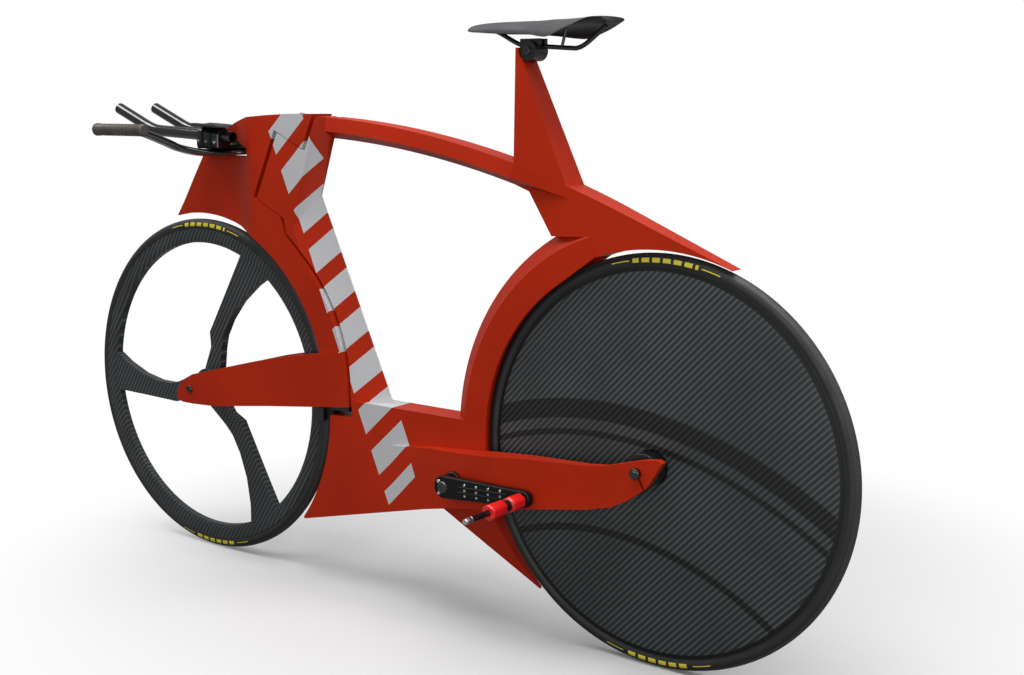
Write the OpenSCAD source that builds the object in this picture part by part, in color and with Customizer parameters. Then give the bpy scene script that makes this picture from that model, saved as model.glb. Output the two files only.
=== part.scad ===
// Triathlon bike: moulded frame, front unit that steers on a long hinge, three-spoke front wheel, disc rear wheel
// Side views are lists of [forward, up], measured from the rear axle or from the front axle
// The origin is the rider's place on top of the saddle, +X forward, +Y left, +Z up

/* [Wheels] */
// Radius over the tyres
wheel_r = 336; // [332:1:340]
// Width of the tyres
tyre_w = 25; // [23:1:27]
// Distance between the two axles
wheelbase = 1050; // [1040:1:1060]
// From the tread down to the edge of the rim
tyre_depth = 20; // [18:1:22]
// Depth of the front rim
rim_depth = 27; // [20:1:40]
// Thickness of both rims at their edge
rim_w = 22; // [20:1:24]
// Thickness of the rear disc at its middle
disc_w = 48; // [40:1:56]
// Thickness of the front wheel's spokes
spoke_w = 16; // [12:1:20]
// Radius of the front wheel's spoke centre
spoke_hub_r = 34; // [30:1:40]
// Radius of both axles
axle_r = 5; // [4:0.5:6]
// Running clearance round axles, spindles and the hinge pin
run_gap = 0.05; // [0.02:0.01:0.1]

/* [Frame] */
// Thickness of the frame's flat sides
frame_w = 52; // [48:1:56]
// Width left on the frame's sharp edges
edge_w = 3; // [2:0.5:6]
// Gap between the tyres and the frame's round cut-outs
tyre_gap = 12; // [10:1:14]
// Gap between the rear tyre and the tips of the tail and the fin
tail_gap = 6; // [5:0.5:7]
// How far the frame's sides reach in beside the rear tyre
lip_d = 7; // [5:1:9]
// Gap between those lips and the tyre's sides
lip_gap = 6; // [5:0.5:7]
// Depth of the frame's bands round the wheels
band_d = 56; // [50:1:60]
// Depth of the flat side of the seat tube band
band_flat = 28; // [20:1:36]
// Radius of the frame's long top line
top_r = 2000; // [1960:10:2040]
// Width of the top tube's upper face
tube_top_w = 44; // [38:1:48]
// Depth of the top tube's sides
tube_side_d = 25; // [20:1:30]
// Depth of the top tube down to its lower ridge
tube_d = 38; // [34:1:44]
// Width of the tail's end
tail_w = 28; // [22:1:34]
// Thickness of the seat mast at its top
mast_top_w = 40; // [36:1:46]
// Height of the flat top of the belly above the axles
belly_z = 24; // [20:1:28]
// Width over the chainstays' ends
stay_w = 140; // [136:1:150]
// Thickness of the chainstays' ends
stay_t = 13; // [11:0.5:14]
// Gap between the right chainstay and the chain beside the chainring
stay_gap = 5.2; // [4:0.2:8]

/* [Steering] */
// Angle of the hinge from the ground
head_angle = 64.75; // [63:0.25:66]
// Length of the hinge's upper knuckle
knuckle_top = 63; // [55:1:70]
// Length of the frame's knuckle
knuckle_mid = 139; // [130:1:145]
// Reach of the knuckles before and behind the hinge axis
knuckle_reach = 34.5; // [33:0.5:36]
// Width of the open slits in front of and behind the knuckles
slit_w = 9; // [8.5:0.5:11]
// Fine gap between the knuckles' end faces
knuckle_gap = 1.5; // [1:0.25:3]
// Gap between the wheel fairing and the down tube
steer_gap = 6; // [5:0.5:8]
// Radius of the hinge pin
pin_r = 15; // [12:0.5:16]
// Width over the fork arms at the axle
fork_w = 114; // [110:1:120]
// Thickness of the fork arms at the axle
arm_t = 10; // [8:0.5:12]

/* [Bars] */
// Half distance between the grips' middles
grip_y = 200; // [190:1:210]
// Length of the grips
grip_l = 140; // [124:1:156]
// Radius of the grips
grip_r = 12; // [11:0.5:14]
// Depth of the base bar from front to back
bar_chord = 44; // [38:1:50]
// Thickness of the base bar
bar_h = 14; // [12:0.5:18]
// Half distance between the extensions
ext_y = 45; // [40:1:50]
// Radius of the extensions
ext_r = 11; // [10.5:0.1:12]
// Bore of the extensions
ext_bore_r = 9; // [8:0.1:9.5]
// Depth of the open bore at the extensions' back ends
ext_bore_l = 60; // [40:1:100]
// Length of the extensions' straight run
ext_run = 206; // [180:1:220]
// Length of the extensions' raised tip
ext_tip = 92; // [70:1:110]
// Slope of the extensions' straight run
ext_slope = 2.8; // [0:0.1:6]
// Slope of the extensions' raised tip
ext_tip_slope = 22; // [15:1:30]

/* [Drive] */
// Crank length
crank_l = 167.5; // [165:0.5:180]
// Angle of the left crank from straight ahead
crank_angle = 177.6; // [170:0.1:190]
// Gap between the chainstays and the cranks
crank_gap = 6; // [5:0.5:10]
// Thickness of the cranks
crank_t = 14; // [12:0.5:18]
// Radius of the crank spindle
spindle_r = 12; // [10:0.5:13]
// Radius of the bottom bracket shell
shell_r = 21; // [19:0.5:24]
// Pitch radius of the chain on the chainring
ring_pitch_r = 105; // [98:0.5:108]
// Pitch radius of the chain on the sprocket it runs on
cog_pitch_r = 39; // [36:0.5:42]
// From the inside of the right chainstay's end to the chain
chain_gap = 13; // [12:0.5:14]
// Height of the chain's plates
chain_h = 8; // [7:0.5:9]
// Width of the chain
chain_w = 5.6; // [5:0.1:5.8]
// Radius of the pedals
pedal_r = 13.5; // [13:0.5:17]
// Length of the pedals
pedal_l = 86; // [80:1:105]
// Radius of the pedal spindles
pedal_pin_r = 5; // [4:0.5:6]

/* [Saddle] */
// Height of the saddle's top above the axles
saddle_z = 695; // [690:1:720]
// From the rear axle forward to the rider's place
saddle_x = 200; // [190:1:210]
// Radius of the saddle's rail
rail_r = 3.8; // [3:0.1:4.5]

/* [Hidden] */
$fn = 96;

// Paint and finish colours
paint = "orangered";
carbon = "dimgray";
black = "#1a1a1c";
steel = "silver";
red = "red";

// Longer than anything that is cut through
far = 400;
// How far a cutting shape reaches past what it cuts
spare = 5;
// Rounds over this radius are drawn with finer steps
large_r = 150;
half_w = frame_w / 2;
half_edge = edge_w / 2;
rim_r = wheel_r - tyre_depth;
cut_r = wheel_r + tyre_gap;
tail_cut_r = wheel_r + tail_gap;
lip_r = wheel_r - lip_d;
lip_in = tyre_w / 2 + lip_gap;
band_r = cut_r + band_d;
face_r = band_r + steer_gap;
// Extra gap between the front tyre and the belly
belly_gap = 8;
belly_r = cut_r + belly_gap;
crank_in = stay_w / 2 + crank_gap;
chain_y = stay_w / 2 - stay_t - chain_gap;
stay_inset = chain_y - chain_w / 2 - stay_gap;

// Side view points from the rear axle, from the front axle, from the tops of the wheels and from the saddle's top
function rear(p) = p + [0, wheel_r];
function front(p) = p + [wheelbase, wheel_r];
function rear_top(p) = rear(p + [0, wheel_r]);
function front_top(p) = front(p + [0, wheel_r]);
function saddle_top(p) = rear(p + [saddle_x, saddle_z]);
function turned(a) = [cos(a), sin(a)];

// The hinge: s runs down its axis, n runs forward across it
hinge_top = [-293, 216];
function hinge(s, n) = front_top(hinge_top + s * [cos(head_angle), -sin(head_angle)]
    + n * [sin(head_angle), cos(head_angle)]);
knuckle_low = knuckle_top + knuckle_mid;
pocket_n = knuckle_reach + slit_w;
knuckle_end = -7;

// The long top line is an arc from the head to the tail, and the mast stands on it
head_join = front_top([-358, 202.3]);
tail_join = rear_top([58.3, 57.8]);
mast_front_x = 270;
top_chord = tail_join - head_join;
top_rise = sqrt(pow(top_r, 2) - pow(norm(top_chord) / 2, 2));
top_centre = (head_join + tail_join) / 2 - top_rise * [top_chord.y, -top_chord.x] / norm(top_chord);
function top_line(r, a) = top_centre + r * turned(a);
head_a = acos((head_join.x - top_centre.x) / top_r);
mast_a = acos((mast_front_x - top_centre.x) / top_r);
tail_a = acos((tail_join.x - top_centre.x) / top_r);

// Angles of the seat tube band and of the wheel fairing about their axles
band_end_a = 71;
// Where the band's outer edge goes under the tail
band_edge_a = 60.5;
fairing_start_a = 128;
fairing_end_a = 178.5;

// Bend of the down tube's trailing edge, and its lower end
edge_bend = front_top([-321, 59]);
edge_low = front([-face_r - 80, belly_z]);
edge_bevel_top = 32;
edge_bevel_low = 72;

// Moves a bike that stands on the ground to the rider's origin
module placed() translate([-saddle_x, 0, -wheel_r - saddle_z]) children();
// Slab between two sides, from a side view
module slab(points, w) rotate([90, 0, 0]) linear_extrude(w, center = true) polygon(points);
// Prism from a plan view of [forward, left]
module plan(points) linear_extrude(1200) polygon(points);
// Round bar across the bike, from y0 to y1
module cross_bar(at, r, y0, y1) translate([at.x, y1, at.y]) rotate([90, 0, 0])
    cylinder(r = r, h = y1 - y0, $fn = r > large_r ? 720 : $fn);
// Ring about an axle across the bike, profile of [radius, left]
module cross_ring(at, profile, a0 = 0, a1 = 360) translate([at.x, 0, at.y]) rotate([90, 0, 0])
    rotate([0, 0, a0]) rotate_extrude(angle = a1 - a0, $fn = 360) polygon([for (p = profile) [p.x, -p.y]]);
// Places a shape so that its X points outwards from an axle at an angle
module outwards(at, a) translate([at.x, 0, at.y]) rotate([0, -a, 0]) children();
// Prism to cut a slab with: its thickness grows from a sharp edge to the frame's thickness over a width, and on
module bevelled(p0, p1, w) {
    along = p1 - p0;
    past = w * (half_w + spare - half_edge) / (half_w - half_edge);
    translate([p0.x, 0, p0.y])
        rotate([0, -atan2(along.y, along.x), 0])
            translate([-far, 0, 0]) rotate([90, 0, 90]) linear_extrude(norm(along) + 2 * far)
                polygon([
                    [-half_edge, -spare], [half_edge, -spare], [half_edge, 0], [half_w + spare, past],
                    [half_w + spare, far], [-half_w - spare, far], [-half_w - spare, past], [-half_edge, 0]
                ]);
}
// Skin over rings of points, each ring in the same turning order
module loft(rings) {
    n = len(rings[0]);
    last = len(rings) - 1;
    sides = [for (i = [0:last - 1], j = [0:n - 1])
        let (a = i * n + j, b = i * n + (j + 1) % n) each [[a, b, b + n], [a, b + n, a + n]]];
    ends = [[for (j = [n - 1:-1:0]) j], [for (j = [0:n - 1]) last * n + j]];
    polyhedron([for (r = rings) each r], concat(sides, ends));
}
// Tube along a side view route at one distance from the middle
module side_tube(route, y, r, sides = 10) {
    last = len(route) - 1;
    loft([for (i = [0:last])
        let (d = route[min(i + 1, last)] - route[max(i - 1, 0)], u = [-d.y, d.x] / norm(d))
        [for (k = [0:sides - 1]) let (t = -360 * k / sides)
            [route[i].x + r * cos(t) * u.x, y + r * sin(t), route[i].y + r * cos(t) * u.y]]]);
}
// The same piece on both sides
module both_sides() {
    children();
    mirror([0, 1, 0]) children();
}

// FRAME

module down_tube() color(paint) placed() difference() {
    intersection() {
        slab([
            top_line(top_r, head_a), hinge(knuckle_end, -pocket_n), hinge(knuckle_top + knuckle_gap / 2, -pocket_n),
            hinge(knuckle_top + knuckle_gap / 2, knuckle_reach), hinge(knuckle_low - knuckle_gap / 2, knuckle_reach),
            hinge(knuckle_low - knuckle_gap / 2, -pocket_n), front(face_r * turned(fairing_start_a)),
            front(cut_r * turned(fairing_start_a)), front([-cut_r, belly_z]),
            edge_low, edge_bend, top_line(top_r - tube_d, head_a)
        ], frame_w);
        union() {
            bevelled(top_line(top_r - tube_d, head_a), edge_bend, edge_bevel_top);
            bevelled(edge_bend, edge_low, edge_bevel_low);
        }
    }
    cross_bar(front([0, 0]), face_r, -far, far);
    hinge_bore(pin_r + run_gap);
}
module hinge_bore(r) {
    top = hinge(0, 0);
    translate([top.x, 0, top.y]) rotate([0, 90 + head_angle, 0]) translate([0, 0, pin_from])
        cylinder(r = r, h = pin_to - pin_from);
}
pin_from = 14;
pin_to = knuckle_low + 58;

module top_tube() color(paint) placed() cross_ring(top_centre, [
    [top_r, tube_top_w / 2], [top_r - tube_side_d, half_w], [top_r - tube_d, half_edge],
    [top_r - tube_d, -half_edge], [top_r - tube_side_d, -half_w], [top_r, -tube_top_w / 2]
], head_a, mast_a);

// The tube's keel goes on under the mast to here, where the tail's front edge starts
tail_from_x = 240;
tail_from_a = acos((tail_from_x - top_centre.x) / top_r);
// Foot of the tail on the seat tube band
tail_foot = [rear((cut_r + band_flat) * turned(band_end_a)), rear(band_r * turned(band_edge_a))];
tail_end_x = -126;
tail_end_d = 40;
tail_end_a = 111.6;
tail_arc_step = (tail_a - mast_a) / 8;
// How far a cut-out's middle is off the axle, so that its gap to the tyre gets less from one angle to another
function cut_shift(from, to) = (tyre_gap - tail_gap) / sin(abs(to - from)) * turned(from - 90 * sign(to - from));
// The tube's lower sides run out on the tail as a crease that ends here
crease_end = rear_top([159, 78]);
crease_a = mast_a - 0.2;
hollow_floor = 260;
// Wedge on the left under that crease: [along, left, up] of its keel, its side and its end, each a little past the face
module tail_hollow() {
    past = spare / (half_w - half_edge);
    keel = top_line(top_r - tube_d, crease_a);
    side = top_line(top_r - tube_side_d, crease_a);
    outer = side + past * (side - keel);
    end = crease_end + past * (crease_end - keel);
    low = wheel_r + hollow_floor;
    polyhedron(
        [[keel.x, half_edge, keel.y], [outer.x, half_w + spare, outer.y], [end.x, half_w + spare, end.y],
            [keel.x, half_edge, low], [outer.x, half_w + spare, low], [end.x, half_w + spare, low]],
        [[2, 1, 0], [3, 4, 5], [3, 5, 2, 0], [2, 5, 4, 1], [1, 4, 3, 0]]
    );
}
module tail() color(paint) placed() difference() {
    tangent = top_line(top_r, tail_a);
    slope = -1 / tan(tail_a);
    tip_z = tangent.y + slope * (tail_end_x - tangent.x);
    intersection() {
        slab(concat(
            [for (a = [mast_a:tail_arc_step:tail_a + tail_arc_step / 2]) top_line(top_r, a)],
            [[tail_end_x, tip_z], [tail_end_x, tip_z - tail_end_d], rear([0, rim_r]),
                rear((tail_cut_r - spare) * turned(band_end_a)), tail_foot[0], tail_foot[1],
                top_line(top_r - tube_d, tail_from_a), top_line(top_r - tube_d, mast_a)]
        ), frame_w);
        plan([
            [far, half_w], [mast_back.x, half_w], [tail_end_x, tail_w / 2],
            [tail_end_x, -tail_w / 2], [mast_back.x, -half_w], [far, -half_w]
        ]);
    }
    cross_bar(rear([0, 0]), tail_cut_r, -far, far);
    both_sides() tail_hollow();
}

// Foot of the mast's back edge, how far the mast is sunk in the tail, and the back of its top
mast_back = rear_top([165, 97]);
mast_sunk = [9, 20];
mast_top = saddle_top([66, -43]);
module seat_mast() color(paint) placed() difference() {
    intersection() {
        slab([
            [mast_front_x, mast_back.y - mast_sunk.y], [mast_front_x, mast_top.y], mast_top,
            mast_back, mast_back - mast_sunk
        ], frame_w);
        translate([mast_front_x - far, 0, 0]) rotate([90, 0, 90]) linear_extrude(2 * far) polygon([
            [half_w, 0], [half_w, mast_back.y], [mast_top_w / 2, mast_top.y],
            [-mast_top_w / 2, mast_top.y], [-half_w, mast_back.y], [-half_w, 0]
        ]);
    }
    cross_bar(top_centre, top_r, -far, far);
    cross_bar(clamp_at, clamp_r, -far, far);
}

// Where the band's lips leave their round and run straight to the tail's cut-out
lip_run_a = 57;
module lip_run() {
    from = rear(lip_r * turned(lip_run_a));
    to = rear(tail_cut_r * turned(band_end_a));
    past = spare * (to - from) / norm(to - from);
    slab([from - past, to + past, rear(well_r * turned(band_end_a)), rear(well_r * turned(lip_run_a))], far);
}
module seat_band() color(paint) placed() difference() {
    cross_ring(rear([0, 0]), [
        [lip_r, half_w], [cut_r + band_flat, half_w], [band_r, half_edge],
        [band_r, -half_edge], [cut_r + band_flat, -half_w], [lip_r, -half_w],
        [lip_r, -lip_in], [cut_r, -lip_in], [cut_r, lip_in], [lip_r, lip_in]
    ], 0, band_end_a);
    lip_run();
    translate([0, -far, wheel_r + belly_z - far]) cube([2 * far, 2 * far, far]);
    slab([tail_foot[0], tail_foot[1], tail_foot[1] + band_d * turned(band_edge_a), tail_foot[0] + [0, band_d]], far);
}

// Corners of the belly: under the fork arms, at its front tip, where the fin starts and at the wheel
belly_top_front = front([-face_r - 2, -8]);
belly_nose = front([-belly_r - 2, -10]);
belly_tip = front((belly_r + 4) * turned(218.5));
fin_start = rear([cut_r + 104, -148]);
belly_back = rear((cut_r - 25) * turned(-21.8));
// A place within either wheel, for what its cut-out takes away
well_r = wheel_r - 80;
bracket = [cut_r + 24.5, -81];
// The lips end at this height, behind the chainstays
lip_foot_z = -60;
module belly() color(paint) placed() difference() {
    slab([
        rear([lip_r - spare, belly_z]), front([-face_r + 1, belly_z]), belly_top_front, belly_nose,
        front(well_r * turned(208.8)), belly_tip, fin_start, belly_back
    ], frame_w);
    cross_bar(front([0, 0]), belly_r, -far, far);
    cross_bar(rear([0, 0]), lip_r, -far, far);
    cross_bar(rear([0, 0]), cut_r, -lip_in, lip_in);
    intersection() {
        cross_bar(rear([0, 0]), cut_r, -far, far);
        slab([rear([0, lip_foot_z]), rear([far, lip_foot_z]), rear([far, -far]), rear([0, -far])], far);
    }
    cross_bar(rear(bracket), shell_r, -far, far);
}

// Tip of the fin under the rear wheel's front, and the depth over which it gets thick
fin_start_a = -20.9;
fin_tip_a = -48;
fin_tip = rear((wheel_r + tail_gap + 3.2) * turned(fin_tip_a));
fin_bevel = 80;
module lower_fin() color(paint) placed() difference() {
    intersection() {
        slab([fin_start, belly_back, rear(well_r * turned(-36.9)), fin_tip], frame_w);
        bevelled(fin_tip, fin_start, fin_bevel);
    }
    cross_bar(rear(cut_shift(fin_start_a, fin_tip_a)), cut_r, -far, far);
}

// Chainstay's side view: its top from the wheel's cut-out, its end about the rear axle, its bottom from the cut-out
stay_upper = [[197, -46], [90, -32], [-2, -25], [-124, -12]];
stay_round = [
    [94, -3], [57, 2], [17, 14], [-13, 22], [-36, 25], [-45, 22], [-19, -20], [-10, -27], [16, -47], [47, -63], [93, -75]
];
stay_lower = [[-157, -92], [25, -126], [104, -145], [197, -168]];
stay_side = concat(
    [for (p = stay_upper) rear(p + [cut_r, 0])], [for (p = stay_round) rear(p)],
    [for (p = stay_lower) rear(p + [cut_r, 0])]
);
stay_end_x = -60;
stay_root_x = cut_r + 197;
// Gap between the rear tyre and the chainstays
stay_tyre_gap = 7;
stay_in = tyre_w / 2 + stay_tyre_gap;
// Slot in the chainstays' ends through which the axle drops in
drop_a = -116;
drop_w = 4;
drop_l = 60;
module chainstay(outline) color(paint) placed() difference() {
    intersection() {
        slab(stay_side, far);
        plan(outline);
    }
    outwards(rear([0, 0]), drop_a) translate([0, -far, -drop_w / 2]) cube([drop_l, 2 * far, drop_w]);
    cross_bar(rear([0, 0]), axle_r, -far, far);
    cross_bar(rear(bracket), shell_r, -far, far);
}
module chainstay_left() chainstay([
    [stay_root_x, half_w], [cut_r + 116, stay_w / 2 - 30], [cut_r + 6, stay_w / 2 - 10], [cut_r - 53, stay_w / 2],
    [stay_end_x, stay_w / 2], [stay_end_x, stay_w / 2 - stay_t], [60, stay_w / 2 - stay_t],
    [cut_r - 48, half_w + 2], [cut_r, half_w]
]);
module chainstay_right() chainstay([
    [stay_root_x, -half_w], [cut_r - 40, -half_w], [cut_r - 48, -stay_in], [cut_r - 86, -stay_in],
    [110, stay_t - stay_w / 2], [stay_end_x, stay_t - stay_w / 2], [stay_end_x, -stay_w / 2], [120, -stay_w / 2],
    [cut_r - 86, -stay_inset], [cut_r + 152, -stay_inset]
]);

shell_left = stay_w / 2 - 4;
shell_right = stay_inset + 3;
module bottom_bracket() color(black) placed() difference() {
    cross_bar(rear(bracket), shell_r, -shell_right, shell_left);
    cross_bar(rear(bracket), spindle_r + run_gap, -far, far);
}

// Caps on the axle outside the chainstays, for a trainer's cups
cap_r = 9;
cap_l = 10;
module rear_axle() color(steel) placed() {
    cross_bar(rear([0, 0]), axle_r, -stay_w / 2, stay_w / 2);
    both_sides() cross_bar(rear([0, 0]), cap_r, stay_w / 2, stay_w / 2 + cap_l);
}

// Round clamp on the mast with a cradle for the rail
clamp_at = saddle_top([48, -48]);
clamp_r = 16.5;
clamp_half = 17;
cradle_l = 38;
cradle_wall = 8;
cradle_z = 3;
cradle_h = 16;
cradle_slot_z = 2.5;
module seat_clamp() color(black) placed() difference() {
    union() {
        cross_bar(clamp_at, clamp_r, -clamp_half, clamp_half);
        translate([clamp_at.x - cradle_l / 2, -rail_r - cradle_wall, clamp_at.y + cradle_z])
            cube([cradle_l, 2 * (rail_r + cradle_wall), cradle_h]);
    }
    translate([clamp_at.x - cradle_l, -rail_r, clamp_at.y + cradle_slot_z]) cube([2 * cradle_l, 2 * rail_r, far]);
}

// Rail under the saddle's middle, from its nose to its back
rail_route = [
    [129, -15], [117, -18], [83, -34.5], [66, -39.5], [30, -41.5], [-22, -45], [-38, -45], [-56, -37], [-90, -12]
];
module saddle_rail() color(steel) placed() side_tube([for (p = rail_route) saddle_top(p)], 0, rail_r);

// Saddle sections from back to nose: forward of the rider, half width, top, edge, underside
saddle_sections = [
    [-94, 46, 2.5, 1, -7], [-86, 62, 4, 1, -9], [-66, 66, 3, -6, -11], [-45, 65, 2, -16, -12], [-20, 59, 1, -28, -13],
    [4, 49, 0, -28, -14], [24, 39, -1, -25, -15], [57, 27, -1, -22, -16], [110, 21, -1, -20, -16],
    [160, 17, -3, -16, -15], [179, 7, -10, -13, -15]
];
module saddle() color(black) placed() translate([saddle_x, 0, wheel_r + saddle_z])
    loft([for (s = saddle_sections) [for (k = [0:15]) let (t = 360 * k / 16)
        [s[0], s[1] * cos(t), s[3] + (t < 180 ? s[2] - s[3] : s[3] - s[4]) * sin(t)]]]);

// DRIVE

// Wheels that the chain runs round, in turn: place from the rear axle, pitch radius, way of turning
idler_r = 22;
idler_top = [14, -68];
idler_low = [38, -128];
chain_turns = [
    [idler_low, idler_r, 1], [bracket, ring_pitch_r, 1], [[0, 0], cog_pitch_r, 1], [idler_top, idler_r, -1]
];
// Direction of the chain's straight run from turn i to the next
function run_angle(i) = let (a = chain_turns[i % 4], b = chain_turns[(i + 1) % 4], d = b[0] - a[0])
    atan2(d.y, d.x) + asin((a[1] * a[2] - b[1] * b[2]) / norm(d));
// How far the chain bends round turn i
function bend(i) = let (change = run_angle(i) - run_angle(i + 3), sense = chain_turns[i][2])
    sense > 0 ? (change % 360 + 360) % 360 : -((-change % 360 + 360) % 360);
bend_steps = 24;
// Gap between the chain and what it runs on
tooth_gap = 0.8;
// Chain's side line, this far outside its middle
function chain_line(out) = [for (i = [0:3], k = [0:bend_steps])
    let (t = chain_turns[i], a = run_angle(i + 3) + bend(i) * k / bend_steps)
    rear(t[0] + (t[1] * t[2] + out) * [sin(a), -cos(a)])];
module chain() color(steel) placed() translate([0, -chain_y, 0]) difference() {
    slab(chain_line(chain_h / 2), chain_w);
    slab(chain_line(-chain_h / 2), 2 * chain_w);
}

// Cage plates each side of the chain, and the body that hangs from the right chainstay
cage_gap = 1.4;
cage_t = 2;
cage_r = 14;
hanger = [6, -38];
idler_pin_r = 3;
body_r = 10;
body_t = 16;
hanger_r = 7;
// Plate with round ends from one place to another, from y0 to y1
module round_plate(from, to, r, y0, y1) {
    along = to - from;
    translate([0, y1, 0]) outwards(rear(from), atan2(along.y, along.x))
        rotate([90, 0, 0]) linear_extrude(y1 - y0) polygon(concat(
            [for (a = [90:15:270]) r * turned(a)],
            [for (a = [-90:15:90]) [norm(along), 0] + r * turned(a)]
        ));
}
cage_in = chain_w / 2 + cage_gap;
cage_out = cage_in + cage_t;
cage_mid = cage_in + cage_t / 2;
module rear_derailleur() color(black) placed() {
    round_plate(idler_top, idler_low, cage_r, -chain_y + cage_in, -chain_y + cage_out);
    round_plate(idler_top, idler_low, cage_r, -chain_y - cage_out, -chain_y - cage_in);
    for (at = [idler_top, idler_low])
        cross_bar(rear(at), idler_pin_r, -chain_y - cage_mid, -chain_y + cage_mid);
    round_plate(hanger, idler_top, body_r, -chain_y - cage_out - body_t, -chain_y - cage_mid);
    cross_bar(rear(hanger), hanger_r, -stay_w / 2 - hanger_r, -chain_y - cage_out - body_t / 2);
}
idler_w = 4;
module jockey_wheels() color(black) placed() for (at = [idler_top, idler_low]) difference() {
    cross_bar(rear(at), idler_r - chain_h / 2 - tooth_gap, -chain_y - idler_w / 2, -chain_y + idler_w / 2);
    cross_bar(rear(at), idler_pin_r, -far, far);
}

module crank_spindle() color(steel) placed() cross_bar(rear(bracket), spindle_r, -crank_in, crank_in);

// Crank outline: round boss at the spindle, narrower round end at the pedal
crank_boss_r = 20;
crank_end_r = 14;
module crank_arm(a, side) color(black) placed() {
    taper = acos((crank_boss_r - crank_end_r) / crank_l);
    y_mid = side * (crank_in + crank_t / 2);
    translate([0, y_mid, 0]) outwards(rear(bracket), a) rotate([90, 0, 0]) {
        linear_extrude(crank_t, center = true) polygon([
            crank_boss_r * turned(taper), crank_boss_r * turned(-taper),
            [crank_l, 0] + crank_end_r * turned(-taper), [crank_l, 0] + crank_end_r * turned(taper)
        ]);
        cylinder(r = crank_boss_r, h = crank_t, center = true);
        translate([crank_l, 0, 0]) cylinder(r = crank_end_r, h = crank_t, center = true);
    }
}
module crank_arm_left() crank_arm(crank_angle, 1);
module crank_arm_right() crank_arm(crank_angle + 180, -1);

// Chainring with five spider arms on a sleeve that reaches the right crank
ring_t = 4;
ring_out_r = ring_pitch_r - chain_h / 2 - tooth_gap;
ring_in_r = ring_out_r - 22;
sleeve_r = 19;
spider_arms = 5;
spider_w = 18;
module chainring() color(black) placed() translate([bracket.x, 0, wheel_r + bracket.y]) difference() {
    union() {
        cross_ring([0, 0], [
            [ring_in_r, -chain_y - ring_t / 2], [ring_out_r, -chain_y - ring_t / 2],
            [ring_out_r, -chain_y + ring_t / 2], [ring_in_r, -chain_y + ring_t / 2]
        ]);
        cross_bar([0, 0], sleeve_r, -crank_in, -chain_y + ring_t / 2);
        for (k = [1:spider_arms]) outwards([0, 0], crank_angle + 360 * k / spider_arms)
            translate([sleeve_r - 6, -chain_y - ring_t / 2 - 2, -spider_w / 2])
                cube([ring_in_r - sleeve_r + 12, ring_t, spider_w]);
    }
    cross_bar([0, 0], spindle_r, -far, far);
}

// Pedals: two red barrels with a groove between, on a spindle that reaches out past them
pedal_gap = 5;
groove_d = 4;
groove_half = 5;
groove_at = 0.47;
stub_l = 59;
pedal_in = crank_in + crank_t + pedal_gap;
function pedal_place(side) = rear(bracket + side * crank_l * turned(crank_angle));
module pedal(side) color(red) placed() {
    mid = pedal_in + pedal_l * groove_at;
    cross_ring(pedal_place(side), [for (p = [
        [pedal_pin_r + run_gap, pedal_in], [pedal_r, pedal_in], [pedal_r, mid - groove_half - groove_d],
        [pedal_r - groove_d, mid - groove_half], [pedal_r - groove_d, mid + groove_half],
        [pedal_r, mid + groove_half + groove_d], [pedal_r, pedal_in + pedal_l],
        [pedal_pin_r + run_gap, pedal_in + pedal_l]
    ]) [p.x, side * p.y]]);
}
module pedal_left() pedal(1);
module pedal_right() pedal(-1);
module pedal_pin(side) color(steel) placed() {
    foot = crank_in + crank_t;
    end = pedal_in + pedal_l + stub_l;
    cross_bar(pedal_place(side), pedal_pin_r, side > 0 ? foot : -end, side > 0 ? end : -foot);
}
module pedal_pin_left() pedal_pin(1);
module pedal_pin_right() pedal_pin(-1);

// FRONT UNIT

// Nose outline above the front wheel's top, from its back along the top, over the ledge and down to the wheel
ledge = 127;
nose_side = [
    [-270, 208], [-205, 205], [-151, 201], [-114, 193], [-88, 183], [-80, 174], [-84, 166], [-148, ledge + 14],
    [-150, ledge], [-9, ledge], [25, 80], [54, 38], [80, 4]
];
ledge_z = wheel_r + ledge;
// Nose's half width in plan, from the front axle: hollow where it gets thin, then a long fine edge
nose_half = [[-165, half_w], [-152, 24], [-114, 11], [-94, 9], [0, 6], [85, half_edge]];
module head_nose() color(paint) placed() difference() {
    intersection() {
        slab(concat(
            [hinge(knuckle_end, -knuckle_reach)], [for (p = nose_side) front_top(p)],
            [front([0, rim_r]), front((cut_r - spare) * turned(fairing_start_a)),
                front(band_r * turned(fairing_start_a)),
                hinge(knuckle_low + knuckle_gap / 2, -knuckle_reach), hinge(knuckle_low + knuckle_gap / 2, pocket_n),
                hinge(knuckle_top - knuckle_gap / 2, pocket_n), hinge(knuckle_top - knuckle_gap / 2, -knuckle_reach)]
        ), far);
        plan(concat(
            [[wheelbase - 2 * far, -half_w], [wheelbase - 2 * far, half_w]],
            [for (p = nose_half) [wheelbase + p.x, p.y]],
            [for (i = [len(nose_half) - 1:-1:0]) [wheelbase + nose_half[i].x, -nose_half[i].y]]
        ));
    }
    cross_bar(front([0, 0]), cut_r, -far, far);
    hinge_bore(pin_r);
}

module hinge_pin() color(steel) placed() hinge_bore(pin_r);

module wheel_fairing() color(paint) placed() cross_ring(front([0, 0]), [
    [cut_r, half_w], [band_r, half_w], [band_r, -half_w], [cut_r, -half_w]
], fairing_start_a, fairing_end_a);

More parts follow.
